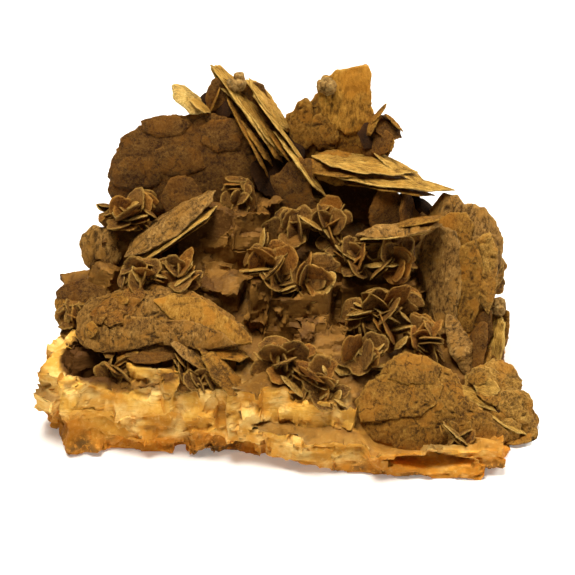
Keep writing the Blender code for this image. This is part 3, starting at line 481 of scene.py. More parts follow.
# Small plates of the rosettes that show from the front: where they are seen, in picture points; how
# far they stand in front of their rosette's middle; half length; share of that in half width; the
# way they lie in the picture; how far their face is turned to the front (90 is full on, and about
# 120 is upright); and their style, where it isn't "petal".
PLATES = {
    "right_rosette": (
        (347, 254, 2.0, 15, 0.8, -36, 12, "straw"), (351, 251, 1.2, 14, 0.8, -52, 16),
        (368, 242, 0.5, 22, 0.5, -2, 14), (376, 246, -0.5, 17, 0.6, -3, 118),
        (383, 256, 0.6, 17, 0.7, 0, 115), (399, 252, 1.0, 9, 0.7, 80, 38, "straw"),
        (408, 260, 1.2, 8, 0.7, 15, 42, "rusty"), (381, 264, 2.2, 21, 0.5, 1, 9, "straw"),
        (385, 269, 1.4, 20, 0.5, -2, 140), (380, 268, 3.2, 16, 0.5, 46, 6),
        (396, 275, 1.6, 13, 0.8, -5, 72, "rusty"), (350, 265, 0.8, 9, 1.0, 0, 84),
        (367, 254, 1.8, 9, 0.7, -45, 12), (335, 251, 0.5, 10, 0.7, 0, 42), (411, 264, 1.0, 8, 0.7, -30, 32),
        (392, 246, 0.8, 6, 0.8, 70, 12), (360, 246, 0.4, 10, 0.7, 30, 24), (372, 260, 0.6, 12, 0.7, 20, 100),
    ),
    "lower_right_rosette": (
        (352, 314, 0.6, 17, 0.85, 75, 50), (390, 304, -1.0, 28, 0.5, -12, 116),
        (385, 309, 1.2, 15, 0.6, -3, 112), (362, 306, 1.4, 9, 0.8, -18, 12, "straw"),
        (360, 312, 2.4, 14, 0.6, 10, 8, "straw"), (361, 318, 1.4, 13, 0.6, 4, 132),
        (387, 315, 2.4, 16, 0.6, -31, 8, "straw"), (384, 320, 1.2, 13, 0.7, -28, 128),
        (372, 324, 1.0, 13, 0.6, -20, 58), (365, 327, 1.2, 9, 0.8, -80, 10), (360, 328, 1.0, 8, 0.8, -86, 14),
        (396, 311, 1.8, 7, 0.8, 40, 10), (405, 317, 1.8, 8, 0.8, -45, 10, "straw"),
        (425, 333, -0.6, 22, 0.6, -50, 116), (399, 328, 1.6, 14, 0.6, 10, 10, "straw"),
        (391, 341, 0.8, 12, 0.6, 85, 62, "rusty"), (414, 338, 0.8, 15, 0.6, -40, 114),
        (418, 332, 1.8, 10, 0.7, -28, 9), (420, 345, 2.0, 13, 0.6, -38, 9), (436, 347, 1.2, 9, 0.8, -46, 16),
        (401, 343, 2.2, 10, 0.5, 43, 34, "straw"), (409, 350, 1.6, 9, 0.7, -25, 62),
        (408, 292, -2.0, 14, 0.6, -15, 62, "rusty"), (414, 300, -1.2, 12, 0.6, -30, 100),
        (376, 298, 0.4, 14, 0.6, 12, 118), (372, 302, 0.8, 6, 0.8, 84, 16), (430, 330, 0.8, 12, 0.6, -58, 20),
        (440, 352, 0.4, 10, 0.6, -66, 24),
    ),
    "upper_centre_rosette": (
        (300, 229, 1.2, 22, 0.8, -100, 42), (281, 221, 0.4, 14, 0.9, 80, 42),
        (286, 220, 1.0, 13, 0.7, 85, 16, "rusty"), (311, 222, 2.4, 14, 0.5, -32, 17, "straw"),
        (327, 232, 2.2, 10, 0.6, -57, 22, "straw"), (340, 240, 2.0, 8, 0.7, -50, 16),
        (313, 206, -1.2, 16, 0.6, 5, 116), (325, 215, -0.4, 14, 0.8, 15, 100, "rusty"),
        (334, 224, 1.2, 12, 0.8, -95, 32), (323, 243, 0.8, 8, 1.0, 0, 72), (341, 209, 0.6, 6, 0.8, 55, 6),
        (318, 210, 0.2, 12, 0.7, 20, 30), (331, 206, -0.6, 10, 0.7, 8, 100),
        (345, 218, 0.2, 9, 0.9, -30, 110),
    ),
    "centre_rosette": (
        (262, 239, 0.8, 11, 0.5, 80, 28, "straw"), (254, 254, 1.0, 12, 0.8, 60, 56),
        (277, 247, 0.0, 11, 0.7, 0, 100, "rusty"), (280, 258, 0.8, 14, 0.7, -5, 113),
        (283, 265, 1.6, 13, 0.8, 0, 113), (265, 258, 1.6, 11, 0.7, 88, 12, "rusty"),
        (256, 269, 2.6, 16, 0.5, 5, 8, "straw"), (270, 280, 2.8, 13, 0.6, -52, 9, "straw"),
        (275, 279, 2.4, 10, 0.6, -72, 8), (279, 273, 2.6, 11, 0.5, -72, 28),
        (287, 288, 3.0, 9, 0.6, 18, 9, "straw"), (286, 283, 2.6, 8, 0.7, 14, 12),
        (264, 280, 0.8, 13, 0.8, 0, 70), (296, 277, 2.0, 14, 0.5, -80, 38),
        (303, 280, 1.0, 11, 0.7, -75, 26, "rusty"), (318, 287, 1.6, 22, 0.6, 42, 52, "straw"),
        (323, 265, 0.0, 16, 0.8, 0, 100), (317, 268, 2.4, 6, 0.7, -40, 22, "straw"),
        (291, 297, 1.6, 6, 0.8, 55, 8), (304, 296, 1.8, 7, 0.8, -45, 9), (247, 258, 0.6, 9, 0.8, 70, 20),
        (272, 262, 0.8, 9, 0.8, 60, 14), (258, 262, 1.6, 8, 0.8, 20, 60, "rusty"),
        (288, 272, 1.4, 9, 0.8, 70, 30, "rusty"),
    ),
    "front_rosette": (
        (275, 345, -0.8, 17, 0.6, 0, 62), (291, 355, 1.2, 12, 0.55, -80, 46),
        (276, 361, 2.0, 10, 0.45, 80, 42, "straw"), (260, 357, 0.4, 8, 0.7, -40, 9),
        (267, 357, 0.8, 6, 0.7, -15, 9), (277, 352, 1.4, 10, 0.7, 50, 9),
        (293, 385, 2.4, 15, 0.45, -43, 22, "straw"), (292, 367, 1.8, 8, 0.7, 20, 32),
        (310, 374, 1.0, 20, 0.5, -38, 52, "rusty"), (310, 387, 2.0, 9, 0.7, -35, 52),
        (321, 387, 2.2, 8, 0.7, -20, 11, "straw"), (334, 384, 1.8, 6, 0.8, 42, 12, "straw"),
        (341, 392, 0.8, 10, 0.8, 20, 62), (324, 395, 2.0, 8, 0.7, 40, 12, "straw"),
        (337, 396, 2.0, 7, 0.6, 55, 62, "straw"), (341, 403, 2.6, 7, 0.6, -35, 16, "straw"),
        (318, 401, 0.4, 16, 0.6, 0, 62), (290, 391, 1.4, 9, 0.7, -62, 24), (304, 394, 2.0, 7, 0.7, 70, 12),
        (268, 372, 0.6, 9, 0.8, 70, 32), (308, 351, 0.0, 9, 0.9, 0, 62, "rusty"),
        (325, 371, 1.0, 6, 0.8, -65, 22, "straw"), (300, 372, 1.8, 9, 0.7, -30, 14),
        (284, 376, 1.4, 9, 0.7, -30, 90), (300, 360, 1.0, 10, 0.7, -10, 80), (330, 399, 1.2, 8, 0.7, 10, 70),
        (316, 392, 1.2, 9, 0.8, 20, 112), (282, 364, 1.0, 9, 0.8, 40, 100),
    ),
    "petal_rosette": (
        (350, 352, 0.8, 12, 0.75, 60, 56, "straw"), (343, 369, 1.2, 10, 0.8, -20, 60, "straw"),
        (371, 347, 1.0, 11, 0.75, 40, 60, "straw"), (376, 351, 2.4, 11, 0.4, 45, 10, "straw"),
        (377, 356, 2.8, 9, 0.4, 46, 10), (379, 365, 1.6, 10, 0.5, -5, 22, "straw"),
        (358, 358, 1.0, 10, 0.6, -70, 42), (364, 350, 1.2, 7, 0.8, 10, 70, "straw"),
    ),
    "upper_left_rosette": (
        (143, 200, -0.6, 16, 0.6, -5, 113, "rusty"), (141, 206, 0.6, 15, 0.6, -10, 106),
        (108, 206, 0.6, 11, 0.6, -8, 16), (120, 216, 1.8, 9, 0.6, -25, 46, "straw"),
        (136, 218, 2.4, 12, 0.6, 14, 11, "straw"), (150, 213, 1.6, 9, 0.6, -35, 12),
        (102, 217, 0.8, 6, 0.8, 60, 46, "rusty"), (114, 224, 0.8, 8, 0.8, -30, 62),
        (146, 224, 1.0, 7, 0.7, -45, 12), (131, 211, 1.4, 8, 0.8, 60, 50, "rusty"),
        (120, 203, 0.2, 7, 0.8, -60, 20), (124, 209, 1.4, 8, 0.7, -40, 14),
        (133, 204, 1.2, 9, 0.7, 30, 18, "straw"), (109, 213, 0.8, 8, 0.7, 20, 20),
        (134, 224, 0.6, 12, 0.7, 0, 112), (101, 208, 0.0, 6, 0.8, -40, 30, "straw"),
    ),
    "left_rosette": (
        (124, 276, 0.8, 12, 0.7, 65, 42), (138, 275, 2.4, 11, 0.45, -58, 42, "straw"),
        (147, 270, 0.6, 14, 0.85, -20, 78), (168, 268, 0.2, 13, 0.85, 0, 104),
        (184, 267, 0.8, 10, 0.6, 70, 46, "rusty"), (180, 269, 1.6, 10, 0.6, -85, 8),
        (187, 270, 1.6, 10, 0.6, 55, 12, "straw"), (160, 276, 2.0, 8, 0.6, -15, 10, "straw"),
        (183, 279, 2.2, 15, 0.5, 36, 12, "straw"), (197, 275, 1.0, 7, 0.8, 20, 62),
        (151, 275, 1.6, 6, 0.7, 88, 10), (166, 279, 1.2, 11, 0.7, -10, 100, "rusty"),
        (128, 270, 1.4, 9, 0.7, 30, 26), (123, 282, 1.2, 8, 0.7, 78, 14), (172, 262, 0.6, 10, 0.8, -5, 30),
        (150, 262, 0.2, 12, 0.8, -8, 24), (192, 285, 1.0, 8, 0.8, 0, 90, "rusty"),
    ),
    "front_left_rosette": (
        (181, 361, 1.4, 9, 0.6, -52, 12), (181, 373, 1.6, 11, 0.6, -75, 16),
        (195, 379, 1.8, 11, 0.6, -65, 20), (202, 377, 1.6, 8, 0.6, 60, 15), (210, 382, 1.6, 11, 0.6, -65, 16),
        (188, 381, 0.8, 11, 0.8, 0, 112, "rusty"), (205, 385, 0.8, 10, 0.8, 0, 112, "rusty"),
        (184, 388, 1.2, 8, 0.7, -20, 60), (190, 370, 1.0, 10, 0.6, -80, 18, "rusty"),
        (200, 389, 1.4, 8, 0.6, 70, 16),
    ),
    "cavity_rosette": (
        (109, 354, 0.6, 6, 0.8, 0, 62), (109, 364, 1.0, 7, 0.7, 65, 16),
        (123, 360, 1.6, 12, 0.5, 35, 26, "rusty"), (128, 368, 1.8, 9, 0.5, 45, 36),
        (126, 379, 1.0, 10, 0.7, -15, 62), (116, 372, 1.0, 8, 0.7, -50, 40), (133, 384, 1.2, 7, 0.8, 20, 100),
        (118, 382, 1.4, 6, 0.8, 60, 30),
    ),
    "left_edge_rosette": (
        (75, 311, 1.4, 8, 0.6, -75, 26), (82, 309, 1.2, 8, 0.6, -65, 20),
        (67, 317, 1.0, 8, 0.7, 80, 42, "straw"), (79, 321, 1.2, 9, 0.7, 60, 50),
        (88, 313, 0.8, 7, 0.7, -45, 30), (66, 329, 0.8, 8, 0.7, 70, 56, "straw"),
        (72, 303, 0.8, 9, 0.7, 5, 20), (62, 309, 0.4, 6, 0.7, 40, 30),
    ),
    "horseshoe_rosette": (
        (236, 179, 1.0, 11, 0.5, -5, 40), (233, 184, 1.4, 9, 0.5, 0, 16, "rusty"),
        (250, 196, 0.8, 18, 0.4, -80, 50), (241, 186, 0.4, 10, 0.8, 0, 100), (246, 186, 1.2, 9, 0.6, -60, 60),
        (228, 190, 0.4, 7, 0.8, 0, 110),
    ),
    "lower_right_blade": (
        (450, 433, 0.4, 12, 0.4, -45, 9), (457, 434, 1.0, 15, 0.4, -41, 11, "straw"),
        (463, 433, 0.8, 9, 0.4, 25, 11), (446, 428, 0.4, 7, 0.5, -70, 14),
        (470, 437, 0.6, 8, 0.7, 60, 56, "rusty"), (452, 440, 0.6, 7, 0.6, 60, 30),
    ),
}

# Rosettes' plates: their outlines; half length, half width and distance of the plate's middle from
# the rosette's, as shares of its size; how thin and round their rims are; and the styles drawn.
PETAL_OUTLINES = (
    ROUND,
    (1.0, 0.9, 0.92, 1.0, 0.96, 0.88, 1.0, 0.94, 0.9, 1.0, 0.86, 0.9),
    (0.95, 1.0, 0.86, 0.96, 1.02, 0.9, 0.98, 0.84, 1.0, 0.92, 1.0, 0.88),
    (1.05, 0.86, 0.9, 0.94, 1.0, 0.84, 1.06, 0.86, 0.94, 0.98, 0.9, 0.86),
)
PETAL_LENGTH = 0.56
PETAL_WIDTH = 0.5
PETAL_REACH = 0.5
PETAL_RIM = 0.12
PETAL_ROUND_OFF = 0.8
PETAL_STYLES = ("petal", "petal", "rusty")
LEANS = (12, 74)  # least lean of a plate from the rosette's axis, and what the order adds to it
TWIST = 38  # spread of the plates' turn about their stems
MAIN_SIZES = (0.85, 1.15)
SEEN_SHARE, UNSEEN_SHARE, LESSER_SHARE = 0.8, 0.95, 0.9  # main plates and lesser ones against the rule
LESSER_RADIUS, CRUMB_RADIUS = 0.78, 0.24  # as shares of the rosette's radius
DOUBLED, DOUBLED_SHARE = 1.3, 0.75  # of the seen plates with a greater half length, so many are double

# Sheets: the least and most cells of a grid, the least half thickness, and the rings between the two
# faces, as shares of the way from front to back and how far each juts out.
LEAST_CELLS, MOST_CELLS = 8, 120
LEAST_HALF = 0.05
RIM_RINGS = ((0.3, 0.05), (0.5, -0.14), (0.7, 0.05))
SLOT_STEP = 1.15  # room along a slot, as a share of its length
SLOT_ROW = 0.75  # distance between rows of slots
SLOT_WIDTH = 0.15
LUMP_CUTS = 5
MANY_LUMPS, FEW_LUMPS, LARGE_CRUMB = 11, 4, 1.5  # lumps of a crumb above that radius, and of a lesser one
GRAIN_SIZE, LUMP_SIZE = 0.9, 2.6  # on a sheet's faces
CRACK_WANDER = (2.4, 2.4, 2.4)

# The matrix: voxels of its remesh; its three cleavage directions and the turns that lay them in the
# specimen; its facets' size, seed, nearness to those directions and deepest cut; the height of its
# ledges; the angle from which an edge is sharp; and the middle and radii of its pale crest.
VOXEL = 0.55
CLEAVAGE = ((1.0, 0.0, 0.12), (-0.26, 0.96, 0.1), (0.1, -0.2, 0.97))
CLEAVAGE_TURNS = (14, 4, -6)
FACETS = ((6.0, 5, 0.7, 1.1), (2.6, 6, 0.5, 0.45))
LEDGE = 1.3
SHARP_EDGE = math.radians(28)
CREST = ((-42.0, -14.0, 16.0), (7.0, 11.0, 9.0))
BLOCK_FACES = ((0, 2, 3, 1), (4, 5, 7, 6), (0, 1, 5, 4), (2, 6, 7, 3), (0, 4, 6, 2), (1, 3, 7, 5))
OUTSIDE = 90  # a distance past every side of the specimen
BLOCK_SHEAR = (0.18, 0.12)

# Facets: how many for each point, on a facet size of 1; how far they stray from their direction and
# their place; how far a facet and the surface have to agree; and a move too long for any facet.
FACET_SHARE = 0.3
FACET_STRAY = 0.06
FACET_SHIFT = 0.09
FACET_AGREES = 0.45
NO_FACET = 8.5

# Colours of the matrix.
DEEP_AMBER, AMBER = (0.63, 0.275, 0.03), (0.84, 0.47, 0.08)
CREAM, PALE_CREAM = (0.92, 0.65, 0.22), (0.94, 0.68, 0.22)
ORANGE, IRON_STAIN = (0.70, 0.30, 0.03), (0.62, 0.22, 0.014)
# Crust colours, darkest first: they paint a brown crust together with painted shade, the darkest nearly
# black.
DARK_CRUST_AND_SHADE, CRUST, LIGHT_CRUST = (0.080, 0.030, 0.004), (0.25, 0.11, 0.018), (0.34, 0.16, 0.03)
SEAM, GRIT = (0.40, 0.17, 0.022), (0.24, 0.11, 0.02)
# The second colour here is nearly black: for the pits, and for painted shade inside the hollow.
MOSS, PIT_AND_SHADE = (0.12, 0.075, 0.026), (0.09, 0.034, 0.006)

# The studio, in metres: each light's place, side, power and colour; what they look at; and the floor.
SOFT_WHITE, WARM_WHITE = (1.0, 0.98, 0.94), (1.0, 0.97, 0.92)
LIGHTS = (
    ("top_light", (-0.08, -0.06, 0.6), 0.26, 6.0, SOFT_WHITE),
    ("side_light", (0.42, 0.2, 0.36), 0.2, 2.4, WARM_WHITE),
    ("front_light", (0.1, -0.75, 0.5), 0.5, 0.12, WARM_WHITE),
)
LIT = (0, 0, 0.02)
SENSOR = 36
FLOOR_HALF = 3
FLOOR_HEIGHT = -0.0001

# How each style of face looks: size of its scales, how far they are drawn out up the face, height
# of their steps, grain, slots' share, slots' angle, slots' length, paint.
STYLES = {
    "velvet": (3.0, 1.0, 0.12, 0.07, 0.0, 0, 1.5, "dark"),
    "felt": (3.8, 2.2, 0.6, 0.13, 0.5, 84, 4.4, "grey"),
    "sandy": (2.4, 1.0, 0.4, 0.16, 0.2, 0, 1.5, "sand"),
    "lobe": (3.4, 2.2, 0.5, 0.12, 0.4, 86, 3.6, "gold"),
    "crusty": (1.9, 1.0, 0.5, 0.2, 0.0, 0, 1.5, "rust"),
    "golden": (4.6, 1.2, 0.20, 0.08, 0.12, 10, 2.6, "gold"),
    "streaked": (3.6, 2.6, 0.16, 0.07, 0.22, 88, 4.6, "orange"),
    "smooth": (4.8, 0.8, 0.10, 0.05, 0.2, -24, 3.0, "amber"),
    "scaly": (4.8, 0.8, 0.18, 0.08, 0.2, -6, 1.8, "gold"),
    "slotted": (4.4, 0.8, 0.22, 0.12, 0.5, -16, 3.4, "tan"),
    "slate": (4.0, 0.7, 0.2, 0.12, 0.5, 4, 3.4, "grey"),
    "layered": (3.0, 0.5, 0.26, 0.08, 0.6, 0, 3.6, "straw"),
    "shelf": (4.0, 0.6, 0.10, 0.05, 0.4, 0, 2.6, "straw"),
    "brown": (2.6, 0.6, 0.2, 0.09, 0.3, 0, 2.6, "gold"),
    # Style "deep" is near-black painted shade, for sheets in the shade between and behind the blades.
    "deep": (2.6, 0.6, 0.2, 0.09, 0.0, 0, 2.6, "deep"),
    "straw_slat": (3.0, 0.5, 0.2, 0.08, 0.3, 0, 2.6, "straw"),
    "pale": (2.4, 0.6, 0.2, 0.07, 0.3, 0, 2.0, "pale"),
    "petal": (2.2, 1.0, 0.10, 0.07, 0.0, 0, 1.0, "petal"),
    "rusty": (2.2, 1.0, 0.10, 0.07, 0.0, 0, 1.0, "rusty"),
    "straw": (2.2, 1.0, 0.08, 0.05, 0.0, 0, 1.0, "straw_petal"),
}


def hashed(cells, seed):
    """Repeatable values from 0 to 1 for cells given by whole numbers."""
    with np.errstate(over="ignore"):
        value = np.full(cells.shape[:-1], (seed * 2654435761 + 97) % 2**32, np.uint32)
        for axis in range(cells.shape[-1]):
            value ^= cells[..., axis].astype(np.int64).astype(np.uint32) * np.uint32(PRIMES[axis])
            value ^= value >> np.uint32(15)
            value *= np.uint32(0x85EBCA6B)
            value ^= value >> np.uint32(13)
            value *= np.uint32(0xC2B2AE35)
            value ^= value >> np.uint32(16)
    return value / 2**32


def noise(points, scale, seed, octaves=3):
    """Smooth noise from -1 to 1 with features about one scale across."""
    total, weight, weights = 0.0, 1.0, 0.0
    axes = points.shape[-1]
    for octave in range(octaves):
        place = points * (2**octave / scale) + 17.31 * (octave + 1)
        cell = np.floor(place)
        share = place - cell
        share = share * share * (3 - 2 * share)
        cell = cell.astype(np.int64)
        value = 0.0
        for corner in range(2**axes):
            bits = np.array([(corner >> axis) & 1 for axis in range(axes)])
            part = np.prod(np.where(bits, share, 1 - share), axis=-1)
            value = value + part * hashed(cell + bits, seed + octave)
        total = total + weight * (2 * value - 1)
        weights += weight
        weight *= 0.5
    return total / weights


def smooth(value, low, high):
    """Eased step from 0 to 1."""
    share = np.clip((value - low) / (high - low), 0, 1)
    return share * share * (3 - 2 * share)


def shingles(points, size, heart, seed):
    """Overlapping round scales that step down away from the heart: height, and painted shadow below their
    rims.
    """
    wobble = np.stack((noise(points, size * 0.5, seed + 5, 2), noise(points, size * 0.5, seed + 6, 2)), -1)
    points = points + wobble * size * 0.11
    cell = np.floor(points / size)
    best = np.zeros(len(points))
    found = []
    for across in (-1, 0, 1):
        for along in (-1, 0, 1):
            here = cell + (across, along)
            jitter = np.stack((hashed(here, seed), hashed(here, seed + 1)), -1)
            middle = (here + 0.5 + 0.7 * (jitter - 0.5)) * size
            radius = size * (0.72 + 0.36 * hashed(here, seed + 2))
            away = middle - heart
            away /= np.linalg.norm(away, axis=-1, keepdims=True) + 1e-6
            offset = points - middle
            reach = np.linalg.norm(offset, axis=-1) / radius
            slope = np.sum(offset * away, axis=-1)
            rise = 0.5 + 0.36 * slope / radius + 0.28 * (hashed(here, seed + 3) - 0.5)
            best = np.maximum(best, np.where(reach < 1, rise, 0))
            found.append((reach, rise))
    dark = np.zeros(len(points))
    for reach, rise in found:
        below = (reach > 1) & (rise > best + 0.12)
        dark = np.maximum(dark, np.where(below, np.exp(-(((reach - 1) / 0.1) ** 2)), 0))
    return best, dark


def slots(points, angle, length, share, seed):
    """Short dark slots lying one way, from 0 to 1."""
    turn = math.radians(angle)
    along = points[:, 0] * math.cos(turn) + points[:, 1] * math.sin(turn)
    across = points[:, 1] * math.cos(turn) - points[:, 0] * math.sin(turn)
    across = across + 0.35 * noise(points, 2.6, seed + 7, 2)
    place = np.stack((along / (length * SLOT_STEP), across / SLOT_ROW), -1)
    cell = np.floor(place)
    deep = np.zeros(len(points))
    for step in (-1, 0, 1):
        for side in (-1, 0, 1):
            here = cell + (step, side)
            jitter = np.stack((hashed(here, seed), hashed(here, seed + 1)), -1)
            middle = here + 0.5 + 0.6 * (jitter - 0.5)
            there = hashed(here, seed + 2) < share
            reach = np.abs(place[:, 0] - middle[:, 0]) * SLOT_STEP / (0.3 + 0.35 * hashed(here, seed + 3))
            off = (place[:, 1] - middle[:, 1]) * SLOT_ROW / SLOT_WIDTH
            cut = np.exp(-(off**2)) * (1 - smooth(reach, 0.5, 1.0))
            deep = np.maximum(deep, np.where(there, cut, 0))
    return deep


def rim_reach(outline, angle):
    """The outline's reach at an angle, eased between its values or straight between its corners."""
    values = np.array(outline)
    if values.ndim == 2:
        best = np.full(len(angle), 0.05)
        for first, second in zip(values, np.roll(values, -1, axis=0)):
            side = second - first
            cross = np.cos(angle) * side[1] - np.sin(angle) * side[0]
            cross = np.where(np.abs(cross) < 1e-9, 1e-9, cross)
            share = (first[0] * np.sin(angle) - first[1] * np.cos(angle)) / cross
            reach = (first[0] * side[1] - first[1] * side[0]) / cross
            best = np.maximum(best, np.where((reach > 0) & (share >= -1e-6) & (share <= 1 + 1e-6), reach, 0))
        return best
    step = angle / math.tau % 1.0 * len(values)
    first = np.floor(step).astype(int) % len(values)
    share = (1 - np.cos((step - np.floor(step)) * math.pi)) / 2
    return values[first] * (1 - share) + values[(first + 1) % len(values)] * share


def crystal_frame(turn, tilt, spin=0):
    """Right, up and facing directions of a blade turned about Z, tilted back and spun in its plane."""
    upright = Matrix.Rotation(math.radians(turn), 3, "Z") @ Matrix.Rotation(math.radians(90 - tilt), 3, "X")
    return upright @ Matrix.Rotation(math.radians(spin), 3, "Z")


def fill(layer, key, values):
    """Sets one value of every item of a mesh layer."""
    layer.foreach_set(key, values.astype(np.float32).ravel())


class Clump:
    """Gathers closed shells that together make one piece."""

    def __init__(self, name):
        self.name = name + "_crystals"
        self.count = 0
        self.points, self.faces, self.details, self.planes, self.paints = [], [], [], [], []

    def add(self, points, faces, detail, plane, paint):
        """Adds one shell, in the tables' millimetres."""
        self.points.append(points)
        self.faces.append(faces + self.count)
        self.details.append(detail)
        self.planes.append(plane)
        self.paints.append((paint, len(faces)))
        self.count += len(points)

    def build(self):
        """Makes the object, riding on the specimen and standing for its solid."""
        points = np.concatenate(self.points) - MIDDLE
        points[:, 2] = np.maximum(points[:, 2], 0.0)
        faces = np.concatenate(self.faces).astype(np.int32)
        mesh = bpy.data.meshes.new(self.name)
        mesh.vertices.add(len(points))
        fill(mesh.vertices, "co", points * MM)
        mesh.loops.add(faces.size)
        mesh.loops.foreach_set("vertex_index", faces.ravel())
        mesh.polygons.add(len(faces))
        mesh.polygons.foreach_set("loop_start", np.arange(0, faces.size, 4, dtype=np.int32))
        mesh.update(calc_edges=True)
        mesh.validate()
        mesh.shade_smooth()
        detail = mesh.color_attributes.new("detail", "FLOAT_COLOR", "POINT")
        fill(detail.data, "color", np.concatenate(self.details))
        plane = mesh.attributes.new("plane", "FLOAT_VECTOR", "POINT")
        fill(plane.data, "vector", np.concatenate(self.planes))
        names = sorted({paint for paint, _ in self.paints})
        for paint in names:
            mesh.materials.append(PAINTS[paint])
        index = np.concatenate([np.full(count, names.index(paint), np.int32) for paint, count in self.paints])
        mesh.polygons.foreach_set("material_index", index)
        item = bpy.data.objects.new(self.name, mesh)
        bpy.context.scene.collection.objects.link(item)
        finished(item)


def finished(item):
    """Makes an object ride on the specimen and stand for the solid that it is named after."""
    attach(item, "root")
    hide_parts(item.name.removesuffix("_crystals"))


def grid_faces(columns, rows, start, flip):
    """Quads of a grid of points, facing along its normal or the other way."""
    number = np.arange((columns + 1) * (rows + 1)).reshape(columns + 1, rows + 1) + start
    faces = np.stack((number[:-1, :-1], number[1:, :-1], number[1:, 1:], number[:-1, 1:]), -1).reshape(-1, 4)
    return faces[:, ::-1] if flip else faces


def grid_rim(columns, rows):
    """Numbers of the points round a grid's edge, anticlockwise."""
    number = np.arange((columns + 1) * (rows + 1)).reshape(columns + 1, rows + 1)
    return np.concatenate((number[:-1, 0], number[-1, :-1], number[:0:-1, -1], number[0, :0:-1]))


def disc_grid(columns, rows):
    """Radius and angle of each point of a square grid drawn to a disc."""
    a, b = np.meshgrid(np.linspace(-1, 1, columns + 1), np.linspace(-1, 1, rows + 1), indexing="ij")
    x, y = (a * np.sqrt(1 - b * b / 2)).ravel(), (b * np.sqrt(1 - a * a / 2)).ravel()
    return np.minimum(np.hypot(x, y), 1.0), np.arctan2(y, x)


def ragged(flat, small, seed):
    """How far a rim's lobes and chips stand out, on a sheet whose lesser half size is small."""
    lobe = min(0.34 * small + 0.5, 2.6)
    out = noise(flat, 2 * lobe, seed + 11, 1) * 0.03 * small
    out += (0.3 - np.abs(noise(flat, lobe, seed + 12, 1))) * min(0.1 * small, 0.75)
    out += (0.3 - np.abs(noise(flat, 0.4 * lobe, seed + 14, 1))) * min(0.07 * small, 0.34)
    return out


def face_relief(plane, radius, half, thick, heart, style, side, seed):
    """A sheet's face with scales, grain and slots: its height over the middle, dark lines of slots and of
    painted shadow below the scales' rims, and a relief tone that is painted shade and highlight.
    """
    scale_size, drawn, step, grain, slot_share, slot_angle, slot_length, _ = STYLES[style]
    rise, dark = shingles(plane * (1.0, 1 / drawn), scale_size, heart, seed + 20 * side + 40)
    grains = noise(plane, GRAIN_SIZE, seed + 3 * side + 31, 2)
    lumps = noise(plane, LUMP_SIZE, seed + 3 * side + 33, 2)
    cut = 0 * rise
    if slot_share and side > 0:
        cut = slots(plane, slot_angle, slot_length, slot_share, seed + 60)
    cut = cut * smooth(noise(plane, 4.0, seed + 71, 2), -0.25, 0.15) * (1 - smooth(radius, 0.86, 0.97))
    # Painted shadow below the scales' rims, in patches.
    dark = dark * smooth(noise(plane, 3.0, seed + 75, 2), -0.5, 0.3)
    rough = grain * (1.4 * grains + 1.2 * lumps) - 0.25 * step * dark
    inside = 1 - smooth(radius, 0.9, 1.0) * 0.6
    limit = min(1.0, thick / 0.9)
    out = half + inside * limit * ((rise - 0.45) * step * 1.6 + rough) - cut * min(0.5, 0.7 * thick)
    # Tone from the height of the grain and scales: lighter up high as painted highlight and partly wear,
    # darker low down as painted shade.
    relief_shading = np.clip(0.5 + 0.3 * grains + 0.2 * lumps + 0.3 * (rise - 0.5), 0, 1)
    return np.maximum(out, LEAST_HALF), np.maximum(cut, dark * 0.6), relief_shading


